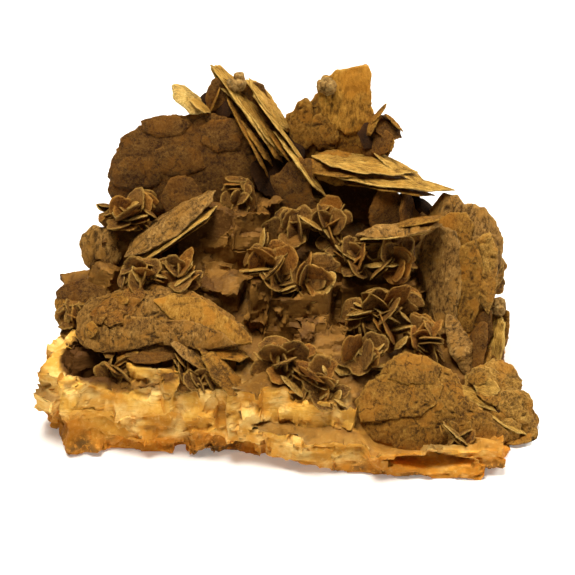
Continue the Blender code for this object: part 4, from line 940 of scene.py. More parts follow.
def add_sheet(
    clump, centre, axes, size, thick, bend, outline, style, seed,
    spacing=0.43, rim=0.4, warp=0.3, round_off=0.6,
):
    """One crystal: a thin lens with scaly faces, a ragged layered rim and its rim bent back."""
    _, drawn, *_, paint = STYLES[style]
    columns, rows = (int(min(max(round(2 * half / spacing), LEAST_CELLS), MOST_CELLS)) for half in size)
    radius, angle = disc_grid(columns, rows)
    reach = rim_reach(outline, angle)
    flat = np.stack((np.cos(angle) * reach * size[0], np.sin(angle) * reach * size[1]), -1)
    length = np.linalg.norm(flat, axis=-1)
    small = min(size)
    plane = flat * (1 + ragged(flat, small, seed) / length)[:, None] * radius[:, None]
    middle = -bend * (radius * reach) ** 2 + warp * noise(plane, 0.9 * small + 2, seed + 13, 2)
    rim = min(rim, thick)
    half = rim / 2 + (thick - rim) / 2 * np.maximum(1 - radius**2.6, 0) ** round_off
    draw = random.Random(seed)
    heart = np.array((draw.uniform(-0.4, 0.4) * size[0], -draw.uniform(0.5, 1.1) * size[1]))
    heart = heart * (1.0, 1 / drawn)
    shade = draw.random()
    # Painted highlight along the rim: full at the rim and gone a third of a millimetre in.
    edge = smooth(length * (1 - radius), 0.34, 0.0)
    rust = np.clip(smooth(noise(plane, 5.0, seed + 81, 3), 0.0, 0.6) * (0.5 + shade), 0, 1)
    sheets, details = [], []
    for side in (1, -1):
        out, dark, relief_shading = face_relief(plane, radius, half, thick, heart, style, side, seed)
        sheets.append(np.column_stack((plane, middle + side * out)))
        details.append(np.column_stack((edge, dark, rust, relief_shading)))
    loop = grid_rim(columns, rows)
    front, back = sheets[0][loop], sheets[1][loop]
    outward = flat[loop] / length[loop, None]
    rings = []
    for number, (share, jut) in enumerate(RIM_RINGS):
        ring = front * (1 - share) + back * share
        push = min(1.0, rim / 0.3) * (0.16 * noise(flat[loop], 1.2, seed + 91 + number, 2) + jut)
        ring[:, :2] += outward * push[:, None]
        rings.append(ring)
    local = np.concatenate(sheets + rings)
    count, around = len(plane), len(loop)
    faces = [grid_faces(columns, rows, 0, False), grid_faces(columns, rows, count, True)]
    inner = [2 * count + number * around + np.arange(around) for number in range(len(rings))]
    chain = [loop, *inner, loop + count]
    for upper, lower in zip(chain, chain[1:]):
        faces.append(np.stack((upper, lower, np.roll(lower, -1), np.roll(upper, -1)), -1))
    # The rim's faces take the full painted highlight; on a thick rim the middle ring is darkened.
    rim_detail = np.tile((1.0, 0.0, 0.3, 0.6), (len(rings) * around, 1))
    if rim > 0.3:
        rim_detail[around : 2 * around, 1] = 0.6
    coords = local + np.array([draw.uniform(0, 400) for _ in range(3)])
    placed = local @ np.array(axes).T + np.array(centre)
    clump.add(placed, np.concatenate(faces), np.concatenate(details + [rim_detail]), coords, paint)


def petals(centre, radius, count, seed, facing):
    """Places of a rosette's main plates, by the same rule as its solid."""
    draw = random.Random(seed)
    axes = crystal_frame(*facing)
    right, up, out = axes.col[0], axes.col[1], axes.col[2]
    for number in range(count):
        share = (number + 0.5) / count
        lean = math.radians(LEANS[0] + LEANS[1] * share)
        turn = number * GOLDEN_TURN + draw.uniform(-0.3, 0.3)
        side = right * math.cos(turn) + up * math.sin(turn)
        stem = (out * math.cos(lean) + side * math.sin(lean)).normalized()
        edge = stem.cross(out).normalized()
        twist = math.radians(draw.gauss(0, TWIST))
        flat = (Matrix.Rotation(twist, 3, stem) @ stem.cross(edge)).normalized()
        across = stem.cross(flat).normalized()
        size = radius * draw.uniform(*MAIN_SIZES)
        yield Vector(centre) + stem * size * PETAL_REACH, Matrix((across, stem, flat)).transposed(), size


def in_picture(spot):
    """Where a place is seen, in picture points."""
    offset = np.array(spot) - EYE
    scale = EYE_REACH / PICTURE_POINT / -(offset @ TOWARD)
    return PICTURE_MIDDLE + offset @ ACROSS * scale, PICTURE_MIDDLE - offset @ UPWARD * scale


def behind_picture(across, down, hub, depth):
    """The place seen at a picture point, that far in front of a hub."""
    ray = ACROSS * (across - PICTURE_MIDDLE) + UPWARD * (PICTURE_MIDDLE - down)
    ray = ray * PICTURE_POINT - TOWARD * EYE_REACH
    share = ((np.array(hub) + TOWARD * depth - EYE) @ TOWARD) / (ray @ TOWARD)
    return EYE + ray * share


def seen_axes(angle, tilt):
    """Directions of a plate that lies one way in the picture and turns its face to the front."""
    turn, lean = math.radians(angle), math.radians(tilt)
    along = ACROSS * math.cos(turn) + UPWARD * math.sin(turn)
    square = UPWARD * math.cos(turn) - ACROSS * math.sin(turn)
    facing = TOWARD * math.sin(lean) + square * math.cos(lean)
    return np.stack((along, np.cross(facing, along), facing), -1)


def add_plates(clump, name, hubs, seed):
    """The clump's small plates that show from the front."""
    views = [in_picture(hub) for hub in hubs]
    for number, (across, down, depth, half, share, angle, tilt, *style) in enumerate(PLATES.get(name, ())):
        near = min(range(len(hubs)), key=lambda index: math.dist(views[index], (across, down)))
        spot = behind_picture(across, down, hubs[near], depth)
        half *= PICTURE_POINT
        draw = random.Random(seed + number)
        axes = seen_axes(angle, tilt)
        add_sheet(
            clump, spot, axes, (half, half * share), draw.uniform(0.5, 0.66), draw.uniform(-0.04, 0.1) * half,
            draw.choice(PETAL_OUTLINES), style[0] if style else "petal", seed + number, spacing=0.46,
            rim=PETAL_RIM, warp=0.05 * half, round_off=PETAL_ROUND_OFF,
        )
        if half > DOUBLED and draw.random() < DOUBLED_SHARE:
            axes = axes @ np.array(Matrix.Rotation(draw.uniform(-0.3, 0.3), 3, "X"))
            shift = axes @ np.array((draw.uniform(-0.3, 0.3) * half, 0.1 * half, -draw.uniform(0.75, 1.2)))
            half *= draw.uniform(0.66, 0.9)
            add_sheet(
                clump, spot + shift, axes, (half, half * share), 0.5, 0.05 * half,
                draw.choice(PETAL_OUTLINES), draw.choice(PETAL_STYLES), seed + 50 + number,
                spacing=0.56, rim=PETAL_RIM, warp=0.05 * half, round_off=PETAL_ROUND_OFF,
            )


def add_slats(clump, name, seed):
    """The clump's blades that show nearly edge on."""
    for number, entry in enumerate(SLATS.get(name, ())):
        across, down, depth, half, width, angle, tilt, thick, outline, style = entry
        spot = behind_picture(across, down, HUBS[name], depth)
        add_sheet(
            clump, spot, seen_axes(angle, tilt), (half * PICTURE_POINT, width), thick, 0.1 * width,
            outline, style, seed + 11 * number, spacing=0.46, rim=0.16, warp=0.25,
        )


def add_petal(clump, spot, axes, size, seed):
    """One small thin plate of a rosette."""
    draw = random.Random(seed)
    bend = draw.uniform(0.0, 0.08) * size
    add_sheet(
        clump, spot, axes, (size * PETAL_WIDTH, size * PETAL_LENGTH), draw.uniform(0.5, 0.7), bend,
        draw.choice(PETAL_OUTLINES), draw.choice(PETAL_STYLES), seed, spacing=0.58,
        rim=PETAL_RIM, warp=0.05 * size, round_off=PETAL_ROUND_OFF,
    )


def rosette(name):
    """A clump of thin plates that lean out from their middles; fewer by rule where seen plates come."""
    clump = Clump(name)
    seen = name in PLATES
    for centre, radius, count, seed, facing, more in ROSETTES[name]:
        for order, (spot, axes, size) in enumerate(petals(centre, radius, count, seed, facing)):
            add_petal(clump, spot, axes, size * (SEEN_SHARE if seen else UNSEEN_SHARE), seed * 100 + order)
        draw = random.Random(seed)
        lesser = petals(centre, radius * LESSER_RADIUS, more // 4 if seen else more, seed + 500, facing)
        for order, (spot, axes, size) in enumerate(lesser):
            axes = axes @ Matrix.Rotation(draw.uniform(-1.0, 1.0), 3, "Y")
            add_petal(clump, spot, axes, size * LESSER_SHARE, seed * 100 + 50 + order)
        add_crumb(clump, centre, radius * CRUMB_RADIUS, seed, "petal")
    hubs = [entry[0] for entry in ROSETTES[name]]
    add_plates(clump, name, hubs, 5000 + 100 * sorted(ROSETTES).index(name))
    clump.build()


def add_crumb(clump, centre, radius, seed, paint="crumb"):
    """A rough cluster of fine crystals, made of small lumps."""
    draw = random.Random(seed)
    for number in range(MANY_LUMPS if radius > LARGE_CRUMB else FEW_LUMPS):
        way = Vector((draw.gauss(0, 1), draw.gauss(0, 0.8), draw.gauss(0, 0.6))).normalized()
        spot = Vector(centre) + way * radius * draw.uniform(0.3, 0.7)
        add_lump(clump, spot, radius * draw.uniform(0.32, 0.6), seed + number, paint)


def add_lump(clump, centre, radius, seed, paint):
    """One lump: a quad sphere with its corners chipped."""
    grid = np.linspace(-1, 1, LUMP_CUTS + 1)
    a, b = (value.ravel() for value in np.meshgrid(grid, grid, indexing="ij"))
    points, faces = [], []
    for number, (u, v, w) in enumerate(((0, 1, 2), (1, 2, 0), (2, 0, 1))):
        for side in (1, -1):
            face = np.empty((len(a), 3))
            face[:, u], face[:, v], face[:, w] = a, b, side
            faces.append(grid_faces(LUMP_CUTS, LUMP_CUTS, (2 * number + (side < 0)) * len(a), side < 0))
            points.append(face)
    points = np.concatenate(points)
    keys = np.round(points * 1000).astype(int)
    _, first, inverse = np.unique(keys, axis=0, return_index=True, return_inverse=True)
    points, faces = points[first], inverse.reshape(-1)[np.concatenate(faces)]
    points /= np.linalg.norm(points, axis=-1, keepdims=True) ** 0.7
    cell = np.floor(points * 2.2)
    rough = 1 + 0.3 * noise(points, 0.9, seed, 2) + 0.25 * (hashed(cell, seed) - 0.5)
    points = points * (radius * rough)[:, None]
    edge, dark = 0.35 * hashed(cell, seed + 2), 0.5 * (hashed(cell, seed + 4) > 0.8)
    detail = np.column_stack((edge, dark, hashed(cell, seed + 3), 0 * rough + 0.6))
    clump.add(points + np.array(centre), faces, detail, points + seed, paint)


def add_scale(clump, blade, number, entry, seed):
    """A thin plate lying on a blade's face, leant and rolled as the blade bends there."""
    _, across, up, half_width, half_height, style, outline = entry
    centre, facing, size, thick, bend, *_ = blade
    axes = crystal_frame(*facing)
    share = math.hypot(across / size[0], up / size[1])
    lift = thick / 2 - bend * share * share + SCALE_LIFT[style] + 0.08 * number
    lean = -math.radians(2) - math.atan(2 * bend * up / size[1] ** 2)
    roll = math.atan(2 * bend * across / size[0] ** 2)
    lying = axes @ Matrix.Rotation(roll, 3, "Y") @ Matrix.Rotation(lean, 3, "X")
    add_sheet(
        clump, Vector(centre) + axes @ Vector((across, up, lift)), lying, (half_width, half_height),
        SCALE_THICK, SCALE_BEND, outline, style, seed + 501 + number, rim=0.5, warp=0.15,
    )


def blades(name):
    """A clump of large blades, with the scales and crumbs that lie on them."""
    clump = Clump(name)
    seed = 1000 + 37 * sorted(BLADES).index(name)
    for number, (centre, facing, size, thick, bend, outline, style) in enumerate(BLADES[name]):
        axes = crystal_frame(*facing)
        add_sheet(clump, centre, axes, size, thick, bend, outline, style, seed + 7 * number)
    for number, entry in enumerate(SCALES.get(name, ())):
        add_scale(clump, BLADES[name][entry[0]], number, entry, seed)
    for number, (centre, radius) in enumerate(CRUMBS.get(name, ())):
        add_crumb(clump, centre, radius, seed + 901 + number)
    add_slats(clump, name, seed + 701)
    if name in PLATES:
        add_plates(clump, name, [HUBS[name]], seed + 951)
    clump.build()


class Paint:
    """A procedural material, with short calls for the nodes it is made of."""

    def __init__(self, name):
        self.material = bpy.data.materials.new(name)
        self.material.use_nodes = True
        self.tree = self.material.node_tree
        self.shader = self.tree.nodes["Principled BSDF"]

    def put(self, kind, **inputs):
        """A node with its inputs set, or linked where a socket is given."""
        node = self.tree.nodes.new(kind)
        for name, value in inputs.items():
            self.join(node.inputs[name.replace("_", " ")], value)
        return node

    def join(self, target, value):
        """Sets a socket, or links it."""
        if isinstance(value, bpy.types.NodeSocket):
            self.tree.links.new(value, target)
        else:
            target.default_value = value

    def attribute(self, name):
        """A mesh attribute's node."""
        node = self.put("ShaderNodeAttribute")
        node.attribute_name = name
        return node

    def detail(self):
        """The four values of the detail attribute."""
        node = self.attribute("detail")
        parts = self.put("ShaderNodeSeparateColor", Color=node.outputs["Color"])
        return (*parts.outputs[:3], node.outputs["Alpha"])

    def noise(self, vector, scale, detail=3.0, rough=0.6, stretch=None):
        """Noise from 0 to 1."""
        if stretch:
            vector = self.put("ShaderNodeMapping", Vector=vector, Scale=stretch).outputs[0]
        node = self.put("ShaderNodeTexNoise", Vector=vector, Scale=scale, Detail=detail, Roughness=rough)
        return node.outputs[0]

    def cracks(self, vector, stir, scale, stretch=None):
        """Thin ragged lines between scales, from 0 to 1."""
        moved = self.put("ShaderNodeTexNoise", Vector=vector, Scale=0.9, Detail=3.0, Roughness=0.6).outputs[1]
        shift = self.put("ShaderNodeVectorMath")
        shift.operation = "MULTIPLY_ADD"
        for socket, value in zip(shift.inputs, (moved, CRACK_WANDER, vector)):
            self.join(socket, value)
        drawn = self.put("ShaderNodeMapping", Vector=shift.outputs[0], Scale=stretch or (1.0, 0.8, 1.0))
        cells = self.put("ShaderNodeTexVoronoi", Vector=drawn.outputs[0], Scale=scale, Randomness=1.0)
        cells.feature = "DISTANCE_TO_EDGE"
        away = self.sum("ADD", cells.outputs["Distance"], self.step(stir, 0.3, 0.6, -0.02, 0.02))
        return self.step(away, 0.015, 0.04, 1.0, 0.0)

    def step(self, value, low, high, start=0.0, end=1.0):
        """Eased change of a value between two marks."""
        node = self.put("ShaderNodeMapRange", Value=value, From_Min=low, From_Max=high)
        node.interpolation_type = "SMOOTHSTEP"
        self.join(node.inputs["To Min"], start)
        self.join(node.inputs["To Max"], end)
        return node.outputs[0]

    def mix(self, share, first, second):
        """Mixed colour."""
        node = self.tree.nodes.new("ShaderNodeMix")
        node.data_type = "RGBA"
        for number, value in ((0, share), (6, first), (7, second)):
            if isinstance(value, tuple):
                value = (*value, 1.0)
            self.join(node.inputs[number], value)
        return node.outputs[2]

    def sum(self, operation, first, second):
        """Arithmetic on two values."""
        node = self.tree.nodes.new("ShaderNodeMath")
        node.operation = operation
        self.join(node.inputs[0], first)
        self.join(node.inputs[1], second)
        return node.outputs[0]

    def times(self, first, second):
        """Product of two values."""
        return self.sum("MULTIPLY", first, second)

    def finish(self, colour, rough, heights):
        """Joins colour, roughness and bumps to the shader."""
        self.join(self.shader.inputs["Base Color"], colour)
        self.join(self.shader.inputs["Roughness"], rough)
        normal = None
        for height, distance in heights:
            bump = self.put("ShaderNodeBump", Height=height, Distance=distance * MM, Strength=1.0)
            if normal:
                self.join(bump.inputs["Normal"], normal)
            normal = bump.outputs[0]
        self.join(self.shader.inputs["Normal"], normal)
        return self.material


def siderite(
    name, deep, body, light, rust, rim, rust_share=0.5, streak=None, rim_highlight_share=0.25, grain=1.0, crack=0.0
):
    """Siderite: grains from deep to light brown, partly following the relief as painted shade and highlight,
    rusty patches, pale rims that are a painted highlight, and dark cracks, slots and painted shadow below the
    scales' rims.
    """
    paint = Paint(name)
    plane = paint.attribute("plane").outputs["Vector"]
    edge, dark, stain, relief_shading = paint.detail()
    fine = paint.noise(plane, 2.2, 5.0, 0.78, streak)
    finest = paint.noise(plane, 5.4, 2.0, 0.6)
    broad = paint.noise(plane, 0.28, 3.0, 0.55)
    # A quarter of the tone follows the relief: painted highlight on raised grain and scales, painted shade
    # low down, and partly wear.
    tone = paint.sum("ADD", paint.times(relief_shading, 0.25), paint.times(fine, 0.75))
    colour = paint.mix(paint.step(tone, 0.40, 0.53), deep, body)
    colour = paint.mix(paint.step(tone, 0.53, 0.64, 0.0, 0.9), colour, light)
    colour = paint.mix(paint.step(finest, 0.56, 0.74, 0.0, 0.5), colour, light)
    colour = paint.mix(paint.step(broad, 0.45, 0.75, 0.0, 0.35), colour, light)
    colour = paint.mix(paint.step(finest, 0.26, 0.41, 0.45, 0.0), colour, deep)
    patch = paint.sum("MAXIMUM", stain, paint.step(broad, 0.52, 0.64))
    colour = paint.mix(paint.times(patch, rust_share), colour, rust)
    # The rim colour, laid along the rims, is a painted highlight.
    ragged_rim_highlight = paint.times(edge, paint.step(fine, 0.3, 0.55, 0.2, 1.0))
    colour = paint.mix(paint.times(ragged_rim_highlight, rim_highlight_share), colour, rim)
    heights = [(fine, 0.5 * grain), (finest, 0.2 * grain)]
    if crack:
        line = paint.cracks(plane, fine, 0.36, streak)
        line = paint.times(line, paint.step(broad, 0.42, 0.56, 0.0, crack))
        dark = paint.sum("MAXIMUM", dark, line)
        heights.append((line, -0.25))
    # Nearly black along the dark lines: cracks, slots and the painted shadow below the scales' rims.
    colour = paint.mix(paint.times(dark, 0.92), colour, tuple(value * 0.15 for value in deep))
    paint.shader.inputs["Specular IOR Level"].default_value = 0.16
    return paint.finish(colour, paint.step(finest, 0.3, 0.8, 0.92, 0.6), heights)


PAINTS = {
    "dark": siderite(
        "dark_siderite", (0.055, 0.019, 0.0025), (0.17, 0.070, 0.010), (0.29, 0.135, 0.024),
        (0.26, 0.088, 0.005), (0.46, 0.18, 0.02), 0.5, grain=1.3, crack=0.5,
    ),
    "tan": siderite(
        "tan_siderite", (0.085, 0.034, 0.005), (0.27, 0.124, 0.020), (0.44, 0.23, 0.052),
        (0.38, 0.145, 0.010), (0.62, 0.33, 0.07), 0.45, (1.0, 0.5, 1.0), crack=0.8,
    ),
    "grey": siderite(
        "grey_siderite", (0.092, 0.038, 0.006), (0.32, 0.155, 0.031), (0.54, 0.295, 0.075),
        (0.38, 0.16, 0.016), (0.66, 0.40, 0.12), 0.5, (1.0, 0.4, 1.0), crack=0.6,
    ),
    "sand": siderite(
        "sand_siderite", (0.13, 0.055, 0.007), (0.45, 0.22, 0.034), (0.70, 0.40, 0.085),
        (0.54, 0.20, 0.014), (0.84, 0.50, 0.12), 0.5, grain=1.3, crack=0.5,
    ),
    "orange": siderite(
        "orange_siderite", (0.19, 0.075, 0.007), (0.50, 0.225, 0.025), (0.72, 0.38, 0.06),
        (0.60, 0.22, 0.010), (0.86, 0.50, 0.10), 0.5, (1.0, 0.35, 1.0),
    ),
    "rust": siderite(
        "rusty_crust", (0.085, 0.028, 0.004), (0.29, 0.115, 0.014), (0.52, 0.27, 0.05),
        (0.36, 0.12, 0.007), (0.62, 0.32, 0.06), 0.5, grain=1.4, crack=0.7,
    ),
    "gold": siderite(
        "golden_siderite", (0.11, 0.042, 0.004), (0.31, 0.135, 0.015), (0.46, 0.24, 0.038),
        (0.42, 0.145, 0.007), (0.66, 0.36, 0.06), 0.45, (1.0, 0.7, 1.0), crack=0.6,
    ),
    "straw": siderite(
        "straw_siderite", (0.18, 0.078, 0.009), (0.51, 0.27, 0.042), (0.80, 0.49, 0.11),
        (0.52, 0.21, 0.016), (0.9, 0.58, 0.15), 0.3, (0.3, 1.6, 1.0), 0.6,
    ),
    "pale": siderite(
        "pale_siderite", (0.24, 0.11, 0.016), (0.70, 0.43, 0.10), (0.92, 0.68, 0.24),
        (0.66, 0.33, 0.04), (0.96, 0.76, 0.32), 0.3,
    ),
    "amber": siderite(
        "amber_siderite", (0.13, 0.05, 0.005), (0.37, 0.165, 0.018), (0.54, 0.28, 0.045),
        (0.48, 0.17, 0.008), (0.75, 0.42, 0.08), 0.5, (1.0, 0.45, 1.0),
    ),
    # Near-black siderite: painted shade, for sheets put where the blades lie in shade.
    "deep": siderite(
        "painted_shade_siderite", (0.010, 0.0035, 0.0007), (0.036, 0.013, 0.002), (0.075, 0.028, 0.004),
        (0.06, 0.02, 0.002), (0.14, 0.05, 0.008), 0.4,
    ),
    "petal": siderite(
        "rosette_siderite", (0.058, 0.021, 0.003), (0.195, 0.083, 0.012), (0.35, 0.17, 0.035),
        (0.27, 0.098, 0.007), (0.74, 0.42, 0.085), 0.4, None, 0.5,
    ),
    "rusty": siderite(
        "rusty_rosette", (0.078, 0.024, 0.003), (0.25, 0.094, 0.010), (0.40, 0.17, 0.026),
        (0.33, 0.105, 0.006), (0.75, 0.38, 0.065), 0.5, None, 0.5,
    ),
    "straw_petal": siderite(
        "straw_rosette", (0.15, 0.066, 0.010), (0.42, 0.215, 0.036), (0.66, 0.39, 0.085),
        (0.52, 0.22, 0.018), (0.9, 0.6, 0.17), 0.35, None, 0.5,
    ),
    "crumb": siderite(
        "crumb_siderite", (0.10, 0.05, 0.012), (0.36, 0.21, 0.06), (0.64, 0.44, 0.15),
        (0.42, 0.17, 0.02), (0.78, 0.56, 0.22), 0.5,
    ),
}


def matrix_stone():
    """The matrix: pale cleavage crystals, stained orange low down, brown under the blades, on upward faces
    and in the hollows, partly crust and partly painted shade, and nearly black inside its hollow as painted
    shade.
    """
    paint = Paint("matrix_stone")
    place = paint.put("ShaderNodeVectorMath", Vector=paint.put("ShaderNodeTexCoord").outputs["Object"])
    place.operation = "SCALE"
    place.inputs["Scale"].default_value = 1 / MM
    plane = place.outputs[0]
    stain, dark, brown, tone = paint.detail()
    moss = paint.attribute("moss").outputs["Fac"]
    fine = paint.noise(plane, 1.2, 5.0, 0.65)
    finest = paint.noise(plane, 4.0, 3.0, 0.65)
    broad = paint.noise(plane, 0.16, 3.0, 0.55)
    lines = paint.noise(plane, 1.0, 4.0, 0.6, (0.25, 0.25, 2.6))
    colour = paint.mix(paint.step(tone, 0.1, 0.9), DEEP_AMBER, AMBER)
    colour = paint.mix(paint.step(broad, 0.46, 0.62, 0.0, 0.7), colour, CREAM)
    colour = paint.mix(paint.step(fine, 0.46, 0.72, 0.0, 0.55), colour, ORANGE)
    colour = paint.mix(paint.step(fine, 0.28, 0.46, 0.45, 0.0), colour, PALE_CREAM)
    colour = paint.mix(paint.times(stain, paint.step(fine, 0.2, 0.6, 0.5, 1.0)), colour, IRON_STAIN)
    colour = paint.mix(paint.step(lines, 0.54, 0.68, 0.0, 0.4), colour, SEAM)
    # Brown crust mixed with painted shade, darkest where the facets' tone is low.
    crust_and_shade = paint.mix(paint.step(tone, 0.2, 0.95), DARK_CRUST_AND_SHADE, CRUST)
    crust_and_shade = paint.mix(paint.step(fine, 0.5, 0.75, 0.0, 0.5), crust_and_shade, LIGHT_CRUST)
    colour = paint.mix(paint.times(brown, paint.step(fine, 0.2, 0.6, 0.9, 1.0)), colour, crust_and_shade)
    colour = paint.mix(paint.times(moss, paint.step(fine, 0.38, 0.52)), colour, MOSS)
    # Nearly black in the pits and, as painted shade, inside the hollow.
    colour = paint.mix(dark, colour, PIT_AND_SHADE)
    colour = paint.mix(paint.step(finest, 0.64, 0.76, 0.0, 0.4), colour, GRIT)
    paint.shader.inputs["Specular IOR Level"].default_value = 0.12
    rough = paint.step(fine, 0.3, 0.7, 0.55, 0.8)
    return paint.finish(colour, rough, ((fine, 0.12), (finest, 0.06), (lines, 0.14)))


def turned(points, turns):
    """Points in the directions of a block turned about Z, X and Y."""
    spin, tip, roll = (math.radians(turn) for turn in turns)
    axes = Matrix.Rotation(spin, 3, "Z") @ Matrix.Rotation(tip, 3, "X") @ Matrix.Rotation(roll, 3, "Y")
    return points @ np.array(axes)


def chiselled(points, normals, size, seed, crystal, share, limit):
    """Moves points to flat faces near the cleavage directions: the new points and their faces' tones."""
    draw = np.random.default_rng(seed)
    pick = draw.choice(len(points), int(len(points) * FACET_SHARE / size**2), replace=False)
    seeds, ways = points[pick], normals[pick]
    dots = ways @ crystal.T
    best = np.argmax(np.abs(dots), axis=1)
    sign = np.sign(dots[np.arange(len(pick)), best])[:, None]
    share = share * (0.45 + 0.55 * smooth(seeds[:, 0], -18.0, -4.0))[:, None]
    ways = ways * (1 - share) + crystal[best] * sign * share + draw.normal(0, FACET_STRAY, ways.shape)
    ways /= np.linalg.norm(ways, axis=1, keepdims=True)
    seeds = seeds + ways * draw.uniform(-0.5, 0.5, (len(pick), 1)) * FACET_SHIFT * size
    tones = draw.random(len(pick))
    tree = KDTree(len(pick))
    for number, seed_point in enumerate(seeds):
        tree.insert(seed_point, number)
    tree.balance()
    near = np.array([[found[1] for found in tree.find_n(point, 3)] for point in points])
    push = np.sum((seeds[near] - points[:, None]) * ways[near], axis=-1)
    agree = np.sum(ways[near] * normals[:, None], axis=-1)
    push = np.where(agree > FACET_AGREES, push, NO_FACET)
    lowest = np.argmin(push, axis=1)
    rows = np.arange(len(points))
    chosen = near[rows, lowest]
    push = push[rows, lowest]
    push = np.where(push >= NO_FACET, 0, np.clip(push, -limit, limit))
    return points + ways[chosen] * push[:, None], tones[chosen]


def seen_blocks(tree):
    """Blocks that the picture shows: place in metres, half sizes, turns and how far they stand out."""
    for across, down, half, facing, proud in ROCKS:
        ray = Vector(behind_picture(across, down, (0, 0, 0), 0) - EYE).normalized()
        yield tree.ray_cast(Vector((EYE - MIDDLE) * MM), ray)[0], half, facing, proud


def hidden_blocks(tree):
    """Blocks on the sides that the picture hides, in the same form."""
    draw = random.Random(BEHIND_SEED)
    for _ in range(BEHIND_COUNT):
        turn = math.radians(draw.uniform(*BEHIND_TURN))
        out = Vector((math.sin(turn), -math.cos(turn), 0))
        side = Vector((-out.y, out.x, 0)) * draw.uniform(*BEHIND_SIDE)
        start = out * OUTSIDE + side + Vector((0, 0, draw.uniform(*BEHIND_HEIGHT)))
        hit, normal, *_ = tree.ray_cast(start * MM, -out)
        half = (*(draw.uniform(*sizes) for sizes in BEHIND_SIZES), BEHIND_DEPTH)
        facing = [draw.uniform(*turns) for turns in BEHIND_TURNS]
        proud = draw.uniform(*BEHIND_PROUD)
        if hit and abs(normal.z) < STEEP:
            facing[0] += math.degrees(math.atan2(normal.x, -normal.y))
            yield hit, half, facing, proud


def with_rocks(solid):
    """The matrix's solid with sheared blocks of its stone let into it."""
    work = bmesh.new()
    work.from_mesh(solid)
    tree = BVHTree.FromBMesh(work)
    for hit, half, facing, proud in [*seen_blocks(tree), *hidden_blocks(tree)]:
        axes = crystal_frame(*facing)
        centre = hit / MM - axes.col[2] * (half[2] - proud)
        corners = []
        for corner in range(8):
            x, y, z = (half[axis] * (1 if corner >> axis & 1 else -1) for axis in range(3))
            sheared = Vector((x + BLOCK_SHEAR[0] * y, y + BLOCK_SHEAR[1] * z, z))
            corners.append(work.verts.new((centre + axes @ sheared) * MM))
        for face in BLOCK_FACES:
            work.faces.new([corners[corner] for corner in face])
    mesh = bpy.data.meshes.new("matrix_crystals")
    work.to_mesh(mesh)
    work.free()
    return mesh


def cleared(points):
    """Pushes the matrix behind the faces of the blades that lie against it."""
    for name, number in CLEARED:
        centre, facing, size, *_ = BLADES[name][number]
        axes = np.array(crystal_frame(*facing))
        local = (points - centre) @ axes
        reach = np.hypot(local[:, 0] / size[0], local[:, 1] / size[1])
        proud = np.clip(local[:, 2] + 1.5, 0, 4.5) * (1 - smooth(reach, 0.9, 1.08)) * (local[:, 2] < 3.2)
        points = points - proud[:, None] * axes[:, 2]
    return points


def broken_stone(points, normals, under):
    """The matrix's surface with cleavage faces, ledges and pits: points, the faces' tones, and pits."""
    crystal = turned(np.array(CLEAVAGE), CLEAVAGE_TURNS)
    crystal /= np.linalg.norm(crystal, axis=1, keepdims=True)
    broken, tones = points, []
    for size, seed, share, limit in FACETS:
        broken, tone = chiselled(broken, normals, size, seed, crystal, share, limit)
        tones.append(tone)
    ledge = np.floor((points[:, 2] + 0.1 * points[:, 0] + 0.3 * noise(points, 9.0, 14, 2)) / LEDGE)
    strata = (1 - smooth(points[:, 2], 6.5, 9.0)) * smooth(points[:, 0], -12.0, 2.0)
    low = 1 - smooth(points[:, 2], 2.0, 7.0)
    low *= 1 - 0.7 * smooth(points[:, 0], -8.0, 6.0)
    lumps = 0.7 * noise(points, 3.0, 8, 3) + 0.6 * noise(points, 1.1, 9, 2)
    out = 0.16 * noise(points, 2.0, 7, 3) + low * lumps
    out += strata * 1.1 * (hashed(np.stack((ledge, ledge * 0), -1), 15) - 0.5)
    pits = smooth(noise(points, 1.3, 10, 2), 0.5, 0.66)
    out -= 0.3 * pits
    held = (1 - under) * smooth(points[:, 2], 0.0, 0.8)
    moved = points + (broken - points) * held[:, None] + normals * (out * held)[:, None]
    moved = cleared(moved)
    moved[:, 2] += under * 0.25 * np.abs(noise(points, 1.5, 12, 2))
    moved[:, 2] = np.maximum(moved[:, 2], 0.0)
    return moved, tones, pits


